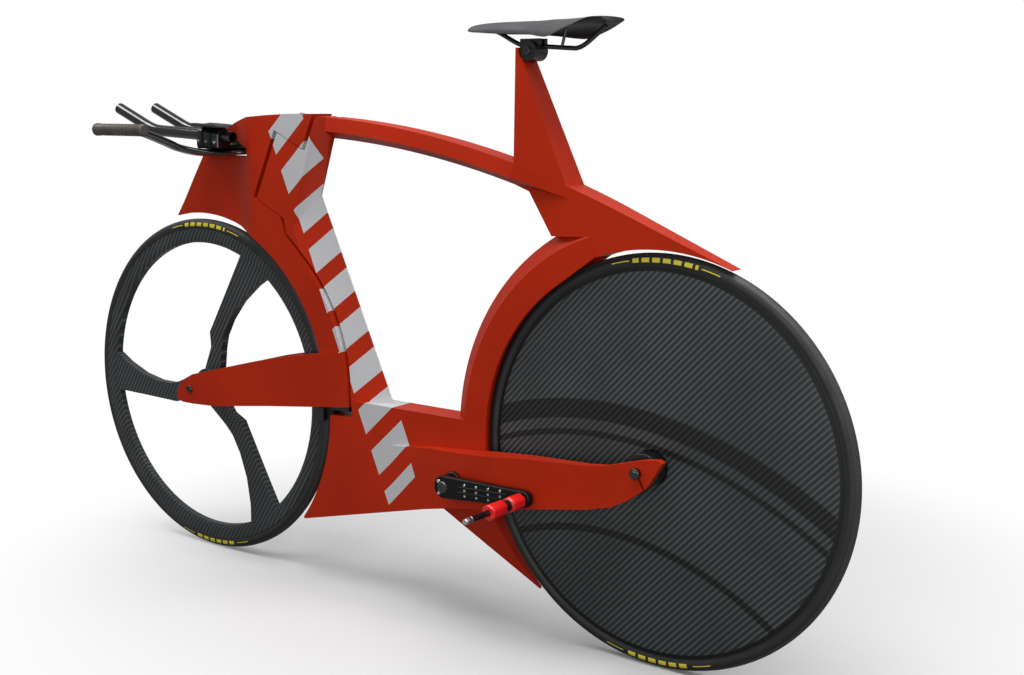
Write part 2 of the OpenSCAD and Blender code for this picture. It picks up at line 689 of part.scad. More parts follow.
// Fork arm's side view from the front axle, along its top, round its end and back along its bottom
arm_side = [
    [-band_r - 16, 119], [-band_r + 22, 112], [-280, 96], [-176, 74], [-51, 42], [-9, 31], [15, 19], [31, 4],
    [40, -14], [37, -25], [22, -29], [-6, -29], [-70, -26], [-207, -10], [-band_r + 77, 2], [-band_r - 16, 12]
];
arm_root = 1;
arm_wide_x = -50;
arm_end_x = 60;
module fork_arm_left() color(paint) placed() difference() {
    intersection() {
        slab([for (p = arm_side) front(p)], far);
        plan([
            [wheelbase - band_r, half_w + arm_root], [wheelbase + arm_wide_x, fork_w / 2],
            [wheelbase + arm_end_x, fork_w / 2], [wheelbase + arm_end_x, fork_w / 2 - arm_t],
            [wheelbase + arm_wide_x, fork_w / 2 - arm_t], [wheelbase - cut_r + 10, tyre_w / 2 + 8],
            [wheelbase - band_r, tyre_w / 2 + 8]
        ]);
        cross_bar(front([0, 0]), band_r, -far, far);
    }
    cross_ring(front([0, 0]), [
        [cut_r, half_w], [band_r + 20, half_w], [band_r + 20, -half_w], [cut_r, -half_w]
    ], 100, 260);
    cross_bar(front([0, 0]), axle_r, -far, far);
}
module fork_arm_right() mirror([0, 1, 0]) fork_arm_left();

// Bolt heads on the axle outside the fork arms
bolt_r = 8;
bolt_l = 2;
module front_axle() color(steel) placed() {
    cross_bar(front([0, 0]), axle_r, -fork_w / 2, fork_w / 2);
    both_sides() cross_bar(front([0, 0]), bolt_r, fork_w / 2, fork_w / 2 + bolt_l);
}

// Brake under the end of the wheel fairing, with an arm each side of the tyre
brake_t = 11;
brake_from = 24;
brake_half = 20;
brake_arm_w = 3.5;
brake_arm_in = tyre_w / 2 + 4;
module front_brake() color(black) placed() outwards(front([0, 0]), fairing_end_a) {
    translate([cut_r + 2, -brake_half, 0]) cube([band_d - 8, 2 * brake_half, brake_t]);
    both_sides() translate([cut_r - brake_from, brake_arm_in, 1]) cube([brake_from + 10, brake_arm_w, brake_t - 3]);
}

// Base bar stations: half distance from the middle, rise above the nose's ledge, depth behind the bar's front
bar_front = -23;
bar_seat = 0.2;
bar_rise = [[0, 0, 122], [30, 0, 122], [62, 0, 82], [97, 9, bar_chord], [154, 30, bar_chord], [192, 43, bar_chord]];
bar_end = [grip_y - 6, 44, bar_chord];
bar_sides = 16;
bar_stations = concat(
    [[-bar_end.x, bar_end.y, bar_end.z]],
    [for (i = [len(bar_rise) - 1:-1:1]) [-bar_rise[i].x, bar_rise[i].y, bar_rise[i].z]], bar_rise, [bar_end]
);
bar_z = ledge_z + bar_h / 2 + bar_seat;
module base_bar() color(black) placed() translate([wheelbase + bar_front, 0, wheel_r + bar_z])
    loft([for (s = bar_stations) [for (k = [0:bar_sides - 1]) let (t = 360 * k / bar_sides)
        [s.z / 2 * (cos(t) - 1), s.x, s.y + bar_h / 2 * sin(t)]]]);

grip_back = -74;
grip_round = 4;
module grip(side) color(black) placed()
    translate([wheelbase + grip_back, side * grip_y, wheel_r + bar_z + bar_end.y]) rotate([0, 90, 0])
        rotate_extrude() polygon([
            [0, 0], [grip_r - grip_round, 0], [grip_r, grip_round], [grip_r, grip_l - grip_round],
            [grip_r - grip_round, grip_l], [0, grip_l]
        ]);
module grip_left() grip(1);
module grip_right() grip(-1);

// Extensions: open bore at the back, straight run, bend and raised tip
ext_back = [-137, wheel_r + 163];
ext_bend_r = 120;
// Step down to the raised tip's sleeve
ext_step = 0.5;
ext_bend_a = ext_tip_slope - ext_slope;
module extension(side) color(black) placed() translate([0, side * ext_y, 0])
    outwards(front(ext_back), ext_slope) difference() {
        union() {
            rotate([0, 90, 0]) cylinder(r = ext_r, h = ext_run);
            translate([ext_run, 0, ext_bend_r]) rotate([90, 0, 0]) rotate([0, 0, -90])
                rotate_extrude(angle = ext_bend_a) translate([ext_bend_r, 0]) circle(r = ext_r);
            translate([ext_run, 0, ext_bend_r]) rotate([0, -ext_bend_a, 0]) translate([0, 0, -ext_bend_r])
                translate([-ext_step, 0, 0]) rotate([0, 90, 0]) cylinder(r = ext_r - ext_step, h = ext_tip + ext_step);
        }
        translate([-1, 0, 0]) rotate([0, 90, 0]) cylinder(r = ext_bore_r, h = ext_bore_l + 1);
    }
module extension_left() extension(1);
module extension_right() extension(-1);

// Clamp blocks round the extensions, standing on the base bar, with a bridge between them
clamp_from = 24;
clamp_l = 60;
bridge_h = 14;
clamp_wall = 6;
clamp_foot = 30;
module extension_clamps() color(black) placed() difference() {
    union() {
        both_sides() translate([0, ext_y, 0]) outwards(front(ext_back), ext_slope)
            translate([clamp_from, -ext_r - clamp_wall, -clamp_foot])
                cube([clamp_l, 2 * (ext_r + clamp_wall), clamp_foot + ext_r + clamp_wall]);
        outwards(front(ext_back), ext_slope) translate([clamp_from, -ext_y, -clamp_foot])
            cube([clamp_l, 2 * ext_y, bridge_h]);
    }
    both_sides() translate([0, ext_y, 0]) outwards(front(ext_back), ext_slope)
        rotate([0, 90, 0]) cylinder(r = ext_r, h = far);
    translate([wheelbase - far, -far, wheel_r + bar_z + bar_h / 2 + bar_seat - far]) cube([2 * far, 2 * far, far]);
}

// Arm pads on the clamp blocks
pad_l = 76;
pad_w = 56;
pad_t = 9;
pad_out = 14;
pad_from = 6;
module arm_pad(side) color(black) placed() translate([0, side * (ext_y + pad_out), 0])
    outwards(front(ext_back), ext_slope) translate([pad_from, -pad_w / 2, ext_r + clamp_wall])
        cube([pad_l, pad_w, pad_t]);
module arm_pad_left() arm_pad(1);
module arm_pad_right() arm_pad(-1);

// WHEELS

module tyre(at) color(black) placed() difference() {
    translate([at.x, 0, at.y]) rotate([90, 0, 0]) rotate_extrude()
        translate([wheel_r - tyre_w / 2, 0]) circle(r = tyre_w / 2);
    cross_bar(at, rim_r, -far, far);
}
module front_tyre() tyre(front([0, 0]));
module rear_tyre() tyre(rear([0, 0]));

// One spoke from the wheel's middle outwards: straight leading edge with a kink, hollow trailing edge, foot in the rim
spokes = 3;
// The rim's inner edge: how much thinner than the spokes, and how deep its slope is
rim_inset = 1.5;
rim_bevel = 10;
spoke_lead = [[24, -24], [75, -30], [100, -47], [200, -45]];
spoke_trail = [[255, 18], [205, -1], [155, -10], [115, -10], [90, -3], [24, 24]];
spoke_foot = [-8.6, 0, 7.5];
module front_rim() color(carbon) placed() difference() {
    rim_in = rim_r - rim_depth;
    union() {
        cross_ring(front([0, 0]), [
            [rim_in, spoke_w / 2 - rim_inset], [rim_in + rim_bevel, rim_w / 2], [rim_r, rim_w / 2],
            [rim_r, -rim_w / 2], [rim_in + rim_bevel, -rim_w / 2], [rim_in, rim_inset - spoke_w / 2]
        ]);
        cross_bar(front([0, 0]), spoke_hub_r, -spoke_w / 2 - hub_boss, spoke_w / 2 + hub_boss);
        for (k = [0:spokes - 1]) outwards(front([0, 0]), 360 * k / spokes)
            slab(concat(spoke_lead, [for (a = spoke_foot) (rim_in + spare) * turned(a)], spoke_trail), spoke_w);
    }
    cross_bar(front([0, 0]), front_hub_r, -far, far);
}

front_hub_r = 20;
hub_boss = 4;
hub_gap = 2;
module front_hub() color(black) placed() difference() {
    cross_bar(front([0, 0]), front_hub_r, hub_gap + arm_t - fork_w / 2, fork_w / 2 - arm_t - hub_gap);
    cross_bar(front([0, 0]), axle_r + run_gap, -far, far);
}

// Lens-shaped disc: its thickness falls off with the square of the radius
rear_hub_r = 27;
lens_steps = 12;
function lens_half(r) = disc_w / 2 - (disc_w - rim_w) / 2 * pow(r / rim_r, 2);
lens_side = [for (k = [0:lens_steps])
    let (r = rear_hub_r + (rim_r - rear_hub_r) * k / lens_steps) [r, lens_half(r)]];
module rear_disc() color(carbon) placed() cross_ring(rear([0, 0]), concat(
    lens_side, [for (k = [lens_steps:-1:0]) [lens_side[k].x, -lens_side[k].y]]
));

freehub_r = 17;
hub_out = stay_w / 2 - stay_t - 5;
module rear_hub() color(black) placed() difference() {
    union() {
        cross_bar(rear([0, 0]), rear_hub_r, -disc_w / 2 - 4, hub_out);
        cross_bar(rear([0, 0]), freehub_r, -hub_out, 0);
    }
    cross_bar(rear([0, 0]), axle_r + run_gap, -far, far);
}

// Sprockets from the largest out to the smallest: steps outwards from the chain, radius over the teeth
cog_step = 4;
cog_t = 1.6;
cogs = [[-3, 52], [-2, 46], [-1, 40], [0, cog_pitch_r - chain_h / 2 - tooth_gap], [1, 30], [2, 26]];
spacer_r = 21;
module cassette() color(steel) placed() difference() {
    union() {
        for (c = cogs) cross_bar(rear([0, 0]), c[1],
            -chain_y - c[0] * cog_step - cog_t / 2, -chain_y - c[0] * cog_step + cog_t / 2);
        cross_bar(rear([0, 0]), spacer_r, -chain_y - 2 * cog_step, -chain_y + 3 * cog_step);
    }
    cross_bar(rear([0, 0]), freehub_r, -far, far);
}

down_tube();
top_tube();
tail();
seat_mast();
seat_band();
belly();
lower_fin();
chainstay_left();
chainstay_right();
bottom_bracket();
rear_axle();
seat_clamp();
saddle_rail();
saddle();
chain();
rear_derailleur();
jockey_wheels();
head_nose();
wheel_fairing();
fork_arm_left();
fork_arm_right();
hinge_pin();
front_axle();
front_brake();
base_bar();
grip_left();
grip_right();
extension_left();
extension_right();
extension_clamps();
arm_pad_left();
arm_pad_right();
front_rim();
front_tyre();
front_hub();
rear_disc();
rear_tyre();
rear_hub();
cassette();
crank_spindle();
crank_arm_left();
crank_arm_right();
chainring();
pedal_pin_left();
pedal_pin_right();
pedal_left();
pedal_right();
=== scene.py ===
"""Looks of a triathlon bike: visual pieces and materials over the CAD frame, with a plain studio."""
import math
from contextlib import contextmanager
from functools import cache

import bmesh
import bpy
from bpy.props import FloatProperty, FloatVectorProperty, IntProperty, PointerProperty
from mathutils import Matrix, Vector


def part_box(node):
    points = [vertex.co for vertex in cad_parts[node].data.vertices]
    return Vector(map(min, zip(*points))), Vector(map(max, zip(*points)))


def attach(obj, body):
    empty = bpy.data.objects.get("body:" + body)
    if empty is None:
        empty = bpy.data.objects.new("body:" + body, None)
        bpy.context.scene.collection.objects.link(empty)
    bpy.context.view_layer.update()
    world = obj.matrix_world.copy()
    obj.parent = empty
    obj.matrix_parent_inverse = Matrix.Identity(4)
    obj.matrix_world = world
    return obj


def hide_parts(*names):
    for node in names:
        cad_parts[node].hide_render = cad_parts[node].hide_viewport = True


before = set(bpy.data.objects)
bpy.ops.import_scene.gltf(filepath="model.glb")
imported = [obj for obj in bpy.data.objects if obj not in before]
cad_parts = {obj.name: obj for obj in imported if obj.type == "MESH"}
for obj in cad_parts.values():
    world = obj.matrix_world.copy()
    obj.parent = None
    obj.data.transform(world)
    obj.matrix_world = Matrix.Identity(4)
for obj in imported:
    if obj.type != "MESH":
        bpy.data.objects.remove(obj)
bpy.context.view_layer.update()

bl_info = {
    "name": "Triathlon bike looks",
    "version": (1, 0, 0),
    "blender": (4, 5, 0),
    "location": "3D View > Sidebar > Bike",
    "description": "Builds the visual pieces and materials of a triathlon bike over its CAD frame",
    "category": "Object",
}

# Places in metres, from the rider's point on the saddle
FLOOR_Z = -1.031
REAR_AXLE = Vector((-0.200, 0, -0.695))
FRONT_AXLE = Vector((0.850, 0, -0.695))
BRACKET = Vector((0.1725, 0, -0.776))
SEAT_CLAMP = Vector((0.048, 0, -0.048))
CRANK_ANGLE = math.radians(177.6)
CRANK_L = 0.1675
CHAIN_Y = -0.044
WHEEL_R = 0.336
RIM_R = 0.316
FRAME_NODES = (
    "down_tube", "top_tube", "tail", "seat_mast", "seat_band", "belly", "lower_fin", "chainstay_left",
    "chainstay_right",
)
FRONT_NODES = ("head_nose", "wheel_fairing", "fork_arm_left", "fork_arm_right")
SIDES = (("left", 1), ("right", -1))
LEFTWARD = Vector((0, 1, 0))
UPWARD = Vector((0, 0, 1))

# Distances and angles below which points and faces count as one
MERGE, CAD_MERGE, SHELL_MERGE, SLIVER = 1e-6, 1e-5, 3e-5, 1e-4
CAD_FLAT, SHELL_FLAT = math.radians(0.3), math.radians(0.5)


# Mesh helpers

def new_object(name, data):
    """Object of that mesh, lamp or camera at the origin, linked to the scene."""
    obj = bpy.data.objects.new(name, data)
    bpy.context.scene.collection.objects.link(obj)
    return obj


@contextmanager
def editing(mesh):
    """The mesh as an edit mesh, which is written back at the end."""
    bm = bmesh.new()
    bm.from_mesh(mesh)
    yield bm
    bm.to_mesh(mesh)
    bm.free()


def mesh_object(name, verts, faces):
    """Object from points and faces, with double points merged and its faces turned outward."""
    mesh = bpy.data.meshes.new(name)
    mesh.from_pydata([tuple(v) for v in verts], [], faces)
    with editing(mesh) as bm:
        bmesh.ops.remove_doubles(bm, verts=bm.verts, dist=MERGE)
        bmesh.ops.dissolve_degenerate(bm, edges=bm.edges, dist=MERGE)
        bmesh.ops.recalc_face_normals(bm, faces=bm.faces)
    return new_object(name, mesh)


def skin(rings, loop=False):
    """Points and faces of a surface over equal rings. Open ends are capped unless it closes in a loop."""
    count = len(rings[0])
    verts = [v for ring in rings for v in ring]
    faces = []
    for i in range(len(rings) if loop else len(rings) - 1):
        a = i * count
        b = (i + 1) % len(rings) * count
        faces += [(a + k, a + (k + 1) % count, b + (k + 1) % count, b + k) for k in range(count)]
    if not loop:
        faces += [tuple(range(count)), tuple(range(len(verts) - count, len(verts)))]
    return verts, faces


def gathered(shapes):
    """Points and faces of several shapes as one."""
    verts, faces = [], []
    for points, loops in shapes:
        faces += [tuple(i + len(verts) for i in loop) for loop in loops]
        verts += points
    return verts, faces


def round_steps(count, shift=0.0):
    """Cosine and sine of even steps round a circle."""
    turns = [2 * math.pi * (k + shift) / count for k in range(count)]
    return [(math.cos(a), math.sin(a)) for a in turns]


def heading(angle):
    """Direction in the side view at an angle above +X."""
    return Vector((math.cos(angle), 0, math.sin(angle)))


def lathe(name, profile, centre, sides):
    """Solid of a closed profile of (radius, y) pairs, turned about the line through centre along Y."""
    rings = [[centre + Vector((r * c, y, r * s)) for r, y in profile] for c, s in round_steps(sides)]
    return mesh_object(name, *skin(rings, loop=True))


def smooth_path(points, per_span):
    """Points on a smooth curve through the given ones."""
    out = []
    for i in range(len(points) - 1):
        p0, p1 = points[max(i - 1, 0)], points[i]
        p2, p3 = points[i + 1], points[min(i + 2, len(points) - 1)]
        for k in range(per_span):
            t = k / per_span
            out.append(
                ((2 * p1) + (p2 - p0) * t + (2 * p0 - 5 * p1 + 4 * p2 - p3) * t * t
                 + (3 * p1 - p0 - 3 * p2 + p3) * t ** 3) / 2
            )
    return out + [points[-1]]


def tube(points, radius, sides, side_axis):
    """Rings of a round tube along points. side_axis is a direction that stays across the path."""
    rings = []
    for i, p in enumerate(points):
        along = (points[min(i + 1, len(points) - 1)] - points[max(i - 1, 0)]).normalized()
        up = along.cross(side_axis).normalized()
        across = up.cross(along)
        rings.append([p + radius * (c * across + s * up) for c, s in round_steps(sides)])
    return rings


def baked(obj):
    """Turns the object's modifiers into its mesh."""
    graph = bpy.context.evaluated_depsgraph_get()
    graph.update()
    mesh = bpy.data.meshes.new_from_object(obj.evaluated_get(graph), depsgraph=graph)
    mesh.name = obj.name
    obj.modifiers.clear()
    obj.data = mesh
    return obj


def merged_copy(name, node):
    """Copy of a CAD node as one closed mesh with its flat faces joined."""
    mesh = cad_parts[node].data.copy()
    mesh.materials.clear()
    with editing(mesh) as bm:
        bmesh.ops.remove_doubles(bm, verts=bm.verts, dist=CAD_MERGE)
        bmesh.ops.dissolve_limit(bm, angle_limit=CAD_FLAT, verts=bm.verts, edges=bm.edges)
    normals = mesh.attributes.get("custom_normal")
    if normals:
        mesh.attributes.remove(normals)
    return new_object(name, mesh)


def united(name, nodes):
    """One closed mesh from several CAD nodes that touch."""
    whole = merged_copy(name, nodes[0])
    for node in nodes[1:]:
        other = merged_copy(node + "_copy", node)
        join = whole.modifiers.new("Join", "BOOLEAN")
        join.operation = "UNION"
        join.solver = "EXACT"
        join.object = other
        baked(whole)
        bpy.data.objects.remove(other)
    with editing(whole.data) as bm:
        bmesh.ops.remove_doubles(bm, verts=bm.verts, dist=SHELL_MERGE)
        bmesh.ops.dissolve_limit(bm, angle_limit=SHELL_FLAT, verts=bm.verts, edges=bm.edges)
        bmesh.ops.dissolve_degenerate(bm, edges=bm.edges, dist=SLIVER)
    return whole


def softened(obj, width, segments=3, angle=40, crease=None):
    """Rounds edges sharper than angle, shades flats flat, and keeps bends of more than crease as lines."""
    obj.data.shade_smooth()
    if crease:
        with editing(obj.data) as bm:
            for edge in bm.edges:
                edge.smooth = not crease < math.degrees(edge.calc_face_angle(0)) < angle
    bevel = obj.modifiers.new("Edges", "BEVEL")
    bevel.width = width
    bevel.segments = segments
    bevel.limit_method = "ANGLE"
    bevel.angle_limit = math.radians(angle)
    bevel.use_clamp_overlap = True
    normals = obj.modifiers.new("Normals", "WEIGHTED_NORMAL")
    normals.keep_sharp = True
    return baked(obj)


def shaded(obj, angle):
    """Smooth shading with sharp lines where faces turn by more than angle."""
    obj.data.shade_smooth()
    obj.data.set_sharp_from_angle(angle=math.radians(angle))
    return obj


def fitted(obj, material, body, slot, *nodes):
    """Gives a finished piece its material and body, and hides the CAD nodes it stands for. The slot is not
    used.
    """
    obj.data.materials.clear()
    obj.data.materials.append(material)
    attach(obj, body)
    if nodes:
        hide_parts(*nodes)
    return obj


def rounded_node(name, node, width, material, body, slot, **how):
    """Piece that stands for a CAD node, with its form and rounded edges."""
    return fitted(softened(merged_copy(name, node), width, **how), material, body, slot, node)


def joined(name, objs):
    """One object from several."""
    bm = bmesh.new()
    for o in objs:
        bm.from_mesh(o.data)
        bpy.data.objects.remove(o)
    mesh = bpy.data.meshes.new(name)
    bm.to_mesh(mesh)
    bm.free()
    return new_object(name, mesh)


# Node helpers

FLOAT, VECTOR, WHOLE = "NodeSocketFloat", "NodeSocketVector", "NodeSocketInt"
ORIGIN = (0, 0, 0)


def fill(tree, node, values):
    """Links or sets a node's inputs by name or number."""
    for key, value in values.items():
        if isinstance(value, bpy.types.NodeSocket):
            tree.links.new(value, node.inputs[key])
        else:
            node.inputs[key].default_value = value
    return node


def add(tree, kind, values=None, **settings):
    """Adds a node, sets its options and fills its inputs."""
    node = tree.nodes.new(kind)
    for key, value in settings.items():
        setattr(node, key, value)
    return fill(tree, node, values or {})


def maths(tree, operation, *values):
    """Output of a Math node."""
    return add(tree, "ShaderNodeMath", dict(enumerate(values)), operation=operation).outputs[0]


def product(tree, first, *others):
    """Values multiplied together."""
    for other in others:
        first = maths(tree, "MULTIPLY", first, other)
    return first


def vectors(tree, operation, *values):
    """Output of a Vector Math node."""
    node = add(tree, "ShaderNodeVectorMath", dict(enumerate(values)), operation=operation)
    return node.outputs["Value" if operation == "DOT_PRODUCT" else "Vector"]


def parted(tree, vector):
    """The three values of a vector."""
    return add(tree, "ShaderNodeSeparateXYZ", {0: vector}).outputs


def vector_of(tree, x, y, z):
    """Vector made from three values."""
    return add(tree, "ShaderNodeCombineXYZ", {0: x, 1: y, 2: z}).outputs[0]


def steps(tree, value, low, high):
    """0 below low, 1 above high and a soft step between."""
    return add(
        tree, "ShaderNodeMapRange", {"Value": value, "From Min": low, "From Max": high},
        interpolation_type="SMOOTHSTEP",
    ).outputs[0]


def ranged(tree, value, low, high):
    """A value from 0 to 1 spread from low to high."""
    return add(tree, "ShaderNodeMapRange", {"Value": value, "To Min": low, "To Max": high}).outputs[0]


def blended(tree, factor, a, b):
    """Colour mixed from a to b."""
    return add(tree, "ShaderNodeMix", {0: factor, 6: a, 7: b}, data_type="RGBA").outputs[2]


def sockets(tree, way, rows):
    """Adds named sockets to a group: each row is a name, a kind and, for an input, its usual value."""
    for label, kind, *usual in rows:
        socket = tree.interface.new_socket(label, in_out=way, socket_type=kind)
        if usual:
            socket.default_value = usual[0]


def new_group(name, inputs, outputs):
    """Shader group with named sockets, the outputs of its input node, and its output node."""
    tree = bpy.data.node_groups.new(name, "ShaderNodeTree")
    sockets(tree, "INPUT", inputs)
    sockets(tree, "OUTPUT", outputs)
    return tree, tree.nodes.new("NodeGroupInput").outputs, tree.nodes.new("NodeGroupOutput")


@cache
def grain_group():
    """Group: slow changes of tone and a fine height for a moulded, sprayed or ground surface."""
    tree, inp, out = new_group(
        "Surface grain",
        [
            ("Vector", VECTOR, ORIGIN), ("Broad", FLOAT, 9.0), ("Fine", FLOAT, 900.0),
            ("Stretch", VECTOR, (1, 1, 1)),
        ],
        [("Tone", FLOAT), ("Height", FLOAT)],
    )
    broad = add(tree, "ShaderNodeTexNoise", {"Vector": inp["Vector"], "Scale": inp["Broad"], "Detail": 4.0})
    placed = vectors(tree, "MULTIPLY", inp["Vector"], inp["Stretch"])
    fine = add(tree, "ShaderNodeTexNoise", {"Vector": placed, "Scale": inp["Fine"], "Detail": 2.0})
    fill(tree, out, {"Tone": steps(tree, broad.outputs["Fac"], 0.32, 0.68), "Height": fine.outputs["Fac"]})
    return tree


@cache
def polar_group():
    """Group: turn and distance round a line along Y through a centre."""
    tree, inp, out = new_group(
        "Round an axle", [("Vector", VECTOR, ORIGIN), ("Centre", VECTOR, ORIGIN)],
        [("Turn", FLOAT), ("Radius", FLOAT), ("Side", FLOAT)],
    )
    x, y, z = parted(tree, vectors(tree, "SUBTRACT", inp["Vector"], inp["Centre"]))
    square = maths(tree, "ADD", product(tree, x, x), product(tree, z, z))
    fill(tree, out, {
        "Turn": maths(tree, "ARCTAN2", z, x), "Radius": maths(tree, "SQRT", square),
        "Side": maths(tree, "ABSOLUTE", y),
    })
    return tree


@cache
def lines_group():
    """Group: fine straight lines across the side view, as in laid carbon cloth."""
    tree, inp, out = new_group(
        "Laid lines",
        [
            ("Vector", VECTOR, ORIGIN), ("Slant", FLOAT, 0.8), ("Pitch", FLOAT, 0.015), ("Share", FLOAT, 0.5),
        ],
        [("Line", FLOAT), ("Height", FLOAT)],
    )
    x, _, z = parted(tree, inp["Vector"])
    along = product(tree, x, maths(tree, "SINE", inp["Slant"]))
    across = maths(tree, "SUBTRACT", along, product(tree, z, maths(tree, "COSINE", inp["Slant"])))
    wave = maths(tree, "PINGPONG", maths(tree, "DIVIDE", across, inp["Pitch"]), 0.5)
    line = steps(tree, wave, product(tree, inp["Share"], 0.4), inp["Share"])
    fill(tree, out, {"Line": line, "Height": wave})
    return tree


@cache
def bars_group():
    """Group: a ladder of plain slanted bars along a straight line in the side view."""
    tree, inp, out = new_group(
        "Ladder of bars",
        [
            ("Vector", VECTOR, ORIGIN), ("Start", VECTOR, ORIGIN), ("Along", VECTOR, (1, 0, 0)),
            ("Across", VECTOR, (0, 0, 1)), ("Length", FLOAT, 0.7), ("Half width", FLOAT, 0.045),
            ("Pitch", FLOAT, 0.08), ("Bar", FLOAT, 0.5), ("Slant", FLOAT, 0.3),
        ],
        [("Mask", FLOAT)],
    )
    off = vectors(tree, "SUBTRACT", inp["Vector"], inp["Start"])
    u = vectors(tree, "DOT_PRODUCT", off, inp["Along"])
    v = vectors(tree, "DOT_PRODUCT", off, inp["Across"])
    skewed = maths(tree, "ADD", u, product(tree, v, inp["Slant"]))
    place = maths(tree, "FRACT", maths(tree, "DIVIDE", skewed, inp["Pitch"]))
    fill(tree, out, {"Mask": product(
        tree, maths(tree, "LESS_THAN", place, inp["Bar"]), maths(tree, "GREATER_THAN", skewed, 0.0),
        maths(tree, "LESS_THAN", skewed, inp["Length"]),
        maths(tree, "LESS_THAN", maths(tree, "ABSOLUTE", v), inp["Half width"]),
    )})
    return tree


def grouped(tree, maker, values):
    """Outputs of a shared group placed in a material with its own values."""
    return add(tree, "ShaderNodeGroup", values, node_tree=maker()).outputs


# Sizes and colours that a user would change

class BikeColours(bpy.types.PropertyGroup):
    """Colours of the bike's surfaces."""
    paint: FloatVectorProperty(
        name="Paint", description="Colour of the frame and fork", subtype="COLOR",
        default=(0.50, 0.026, 0.0052),
    )
    bars: FloatVectorProperty(
        name="Bars", description="Colour of the plain bars on the down tube", subtype="COLOR",
        default=(0.58, 0.58, 0.60),
    )
    carbon_dark: FloatVectorProperty(
        name="Carbon", description="Darker tone of the wheels", subtype="COLOR",
        default=(0.0085, 0.0105, 0.0115),
    )
    carbon_light: FloatVectorProperty(
        name="Carbon lines", description="Lighter tone of the wheels' laid lines", subtype="COLOR",
        default=(0.185, 0.202, 0.210),
    )
    rubber: FloatVectorProperty(
        name="Rubber", description="Colour of the tyres", subtype="COLOR", default=(0.0085, 0.0088, 0.0092),
    )
    dashes: FloatVectorProperty(
        name="Tyre dashes", description="Colour of the dashes on the tyres' sides", subtype="COLOR",
        default=(0.78, 0.66, 0.05),
    )
    pedal: FloatVectorProperty(
        name="Pedal", description="Colour of the pedals", subtype="COLOR", default=(0.85, 0.012, 0.012),
    )
    black: FloatVectorProperty(
        name="Black", description="Colour of bars, cranks and clamps", subtype="COLOR",
        default=(0.0045, 0.0045, 0.005),
    )


class BikeSizes(bpy.types.PropertyGroup):
    """Sizes of the small detail."""
    edge: FloatProperty(
        name="Edge radius", description="Rounding of the frame's edges", unit="LENGTH", default=0.0022,
    )
    bar_pitch: FloatProperty(
        name="Bar pitch", description="Distance from one bar on the down tube to the next", unit="LENGTH",
        default=0.078,
    )
    line_pitch: FloatProperty(
        name="Line pitch", description="Distance between the laid lines on the wheels", unit="LENGTH",
        default=0.0080,
    )
    links: IntProperty(name="Chain links", description="Links in the chain", default=116)
    grip_ribs: IntProperty(name="Grip ribs", description="Ribs on each grip", default=12)


def colours():
    return bpy.context.scene.bike_colours


def sizes():
    return bpy.context.scene.bike_sizes


# Materials

STEEL = (0.62, 0.62, 0.63)
FINE_BUMP = 0.0004
SPECULAR = "Specular IOR Level"
# One-coloured finishes: what differs from the usual values. A finish with no colour is black.
USUAL = {
    "colour": None, "metallic": 0.0, "coat": 0.0, "specular": 0.5, "broad": 14.0, "fine": 1400.0,
    "bump": 0.12, "stretch": (1, 1, 1),
}
GROUND = {"metallic": 1.0, "stretch": (1, 0.05, 1), "bump": 0.08}
FINISHES = {
    "satin_alloy": {"rough": 0.3, "coat": 0.15},
    "gloss_black": {"rough": 0.16, "coat": 0.7, "bump": 0.05},
    "crank_black": {"rough": 0.36, "specular": 0.22, "bump": 0.05},
    "bar_carbon": {
        "colour": (0.009, 0.009, 0.010), "rough": 0.13, "coat": 0.4, "broad": 30.0, "bump": 0.05,
        "stretch": (0.2, 1, 1),
    },
    "bright_steel": {**GROUND, "colour": STEEL, "rough": 0.24},
    "dark_steel": {**GROUND, "colour": (0.10, 0.10, 0.105), "rough": 0.32, "metallic": 0.9},
    "ribbed_rubber": {
        "colour": (0.082, 0.073, 0.066), "rough": 0.46, "broad": 40.0, "fine": 1100.0, "bump": 0.2,
    },
    "pad_foam": {"colour": (0.018, 0.018, 0.019), "rough": 0.85, "broad": 30.0, "fine": 1000.0, "bump": 0.5},
}


def toned(colour, factor=1.0):
    """A colour made lighter or darker, with full alpha."""
    return tuple(v * factor for v in colour) + (1.0,)


def new_material(name):
    """Material with a Principled shader, and its object coordinates."""
    mat = bpy.data.materials.new(name)
    mat.use_nodes = True
    tree = mat.node_tree
    shader = next(n for n in tree.nodes if n.type == "BSDF_PRINCIPLED")
    where = tree.nodes.new("ShaderNodeTexCoord").outputs["Object"]
    return mat, tree, shader, where


def grained(name, broad, fine, stretch=(1, 1, 1)):
    """Material with a Principled shader, its object coordinates and a surface grain."""
    mat, tree, shader, where = new_material(name)
    grain = grouped(tree, grain_group, {"Vector": where, "Broad": broad, "Fine": fine, "Stretch": stretch})
    return mat, tree, shader, where, grain


def dress(tree, shader, grain, colour, rough, bump, others):
    """Gives a shader its colour, a gloss that follows the grain's tone, a height and its other values."""
    normal = add(tree, "ShaderNodeBump", dict(zip(("Height", "Strength", "Distance"), bump)))
    fill(tree, shader, {
        "Base Color": colour, "Roughness": ranged(tree, grain["Tone"], *rough), "Normal": normal.outputs[0],
        **others,
    })


@cache
def plain(name):
    """Material of one colour whose tone, gloss and height change over the surface."""
    look = {**USUAL, **FINISHES[name]}
    mat, tree, shader, _, grain = grained(name, look["broad"], look["fine"], look["stretch"])
    colour = look["colour"] or colours().black
    tone = blended(tree, grain["Tone"], toned(colour, 0.68), toned(colour))
    rough = look["rough"] * 1.2, look["rough"] * 0.85
    dress(tree, shader, grain, tone, rough, (grain["Height"], look["bump"], FINE_BUMP), {
        "Metallic": look["metallic"], SPECULAR: look["specular"], "Coat Weight": look["coat"],
        "Coat Roughness": 0.15,
    })
    return mat


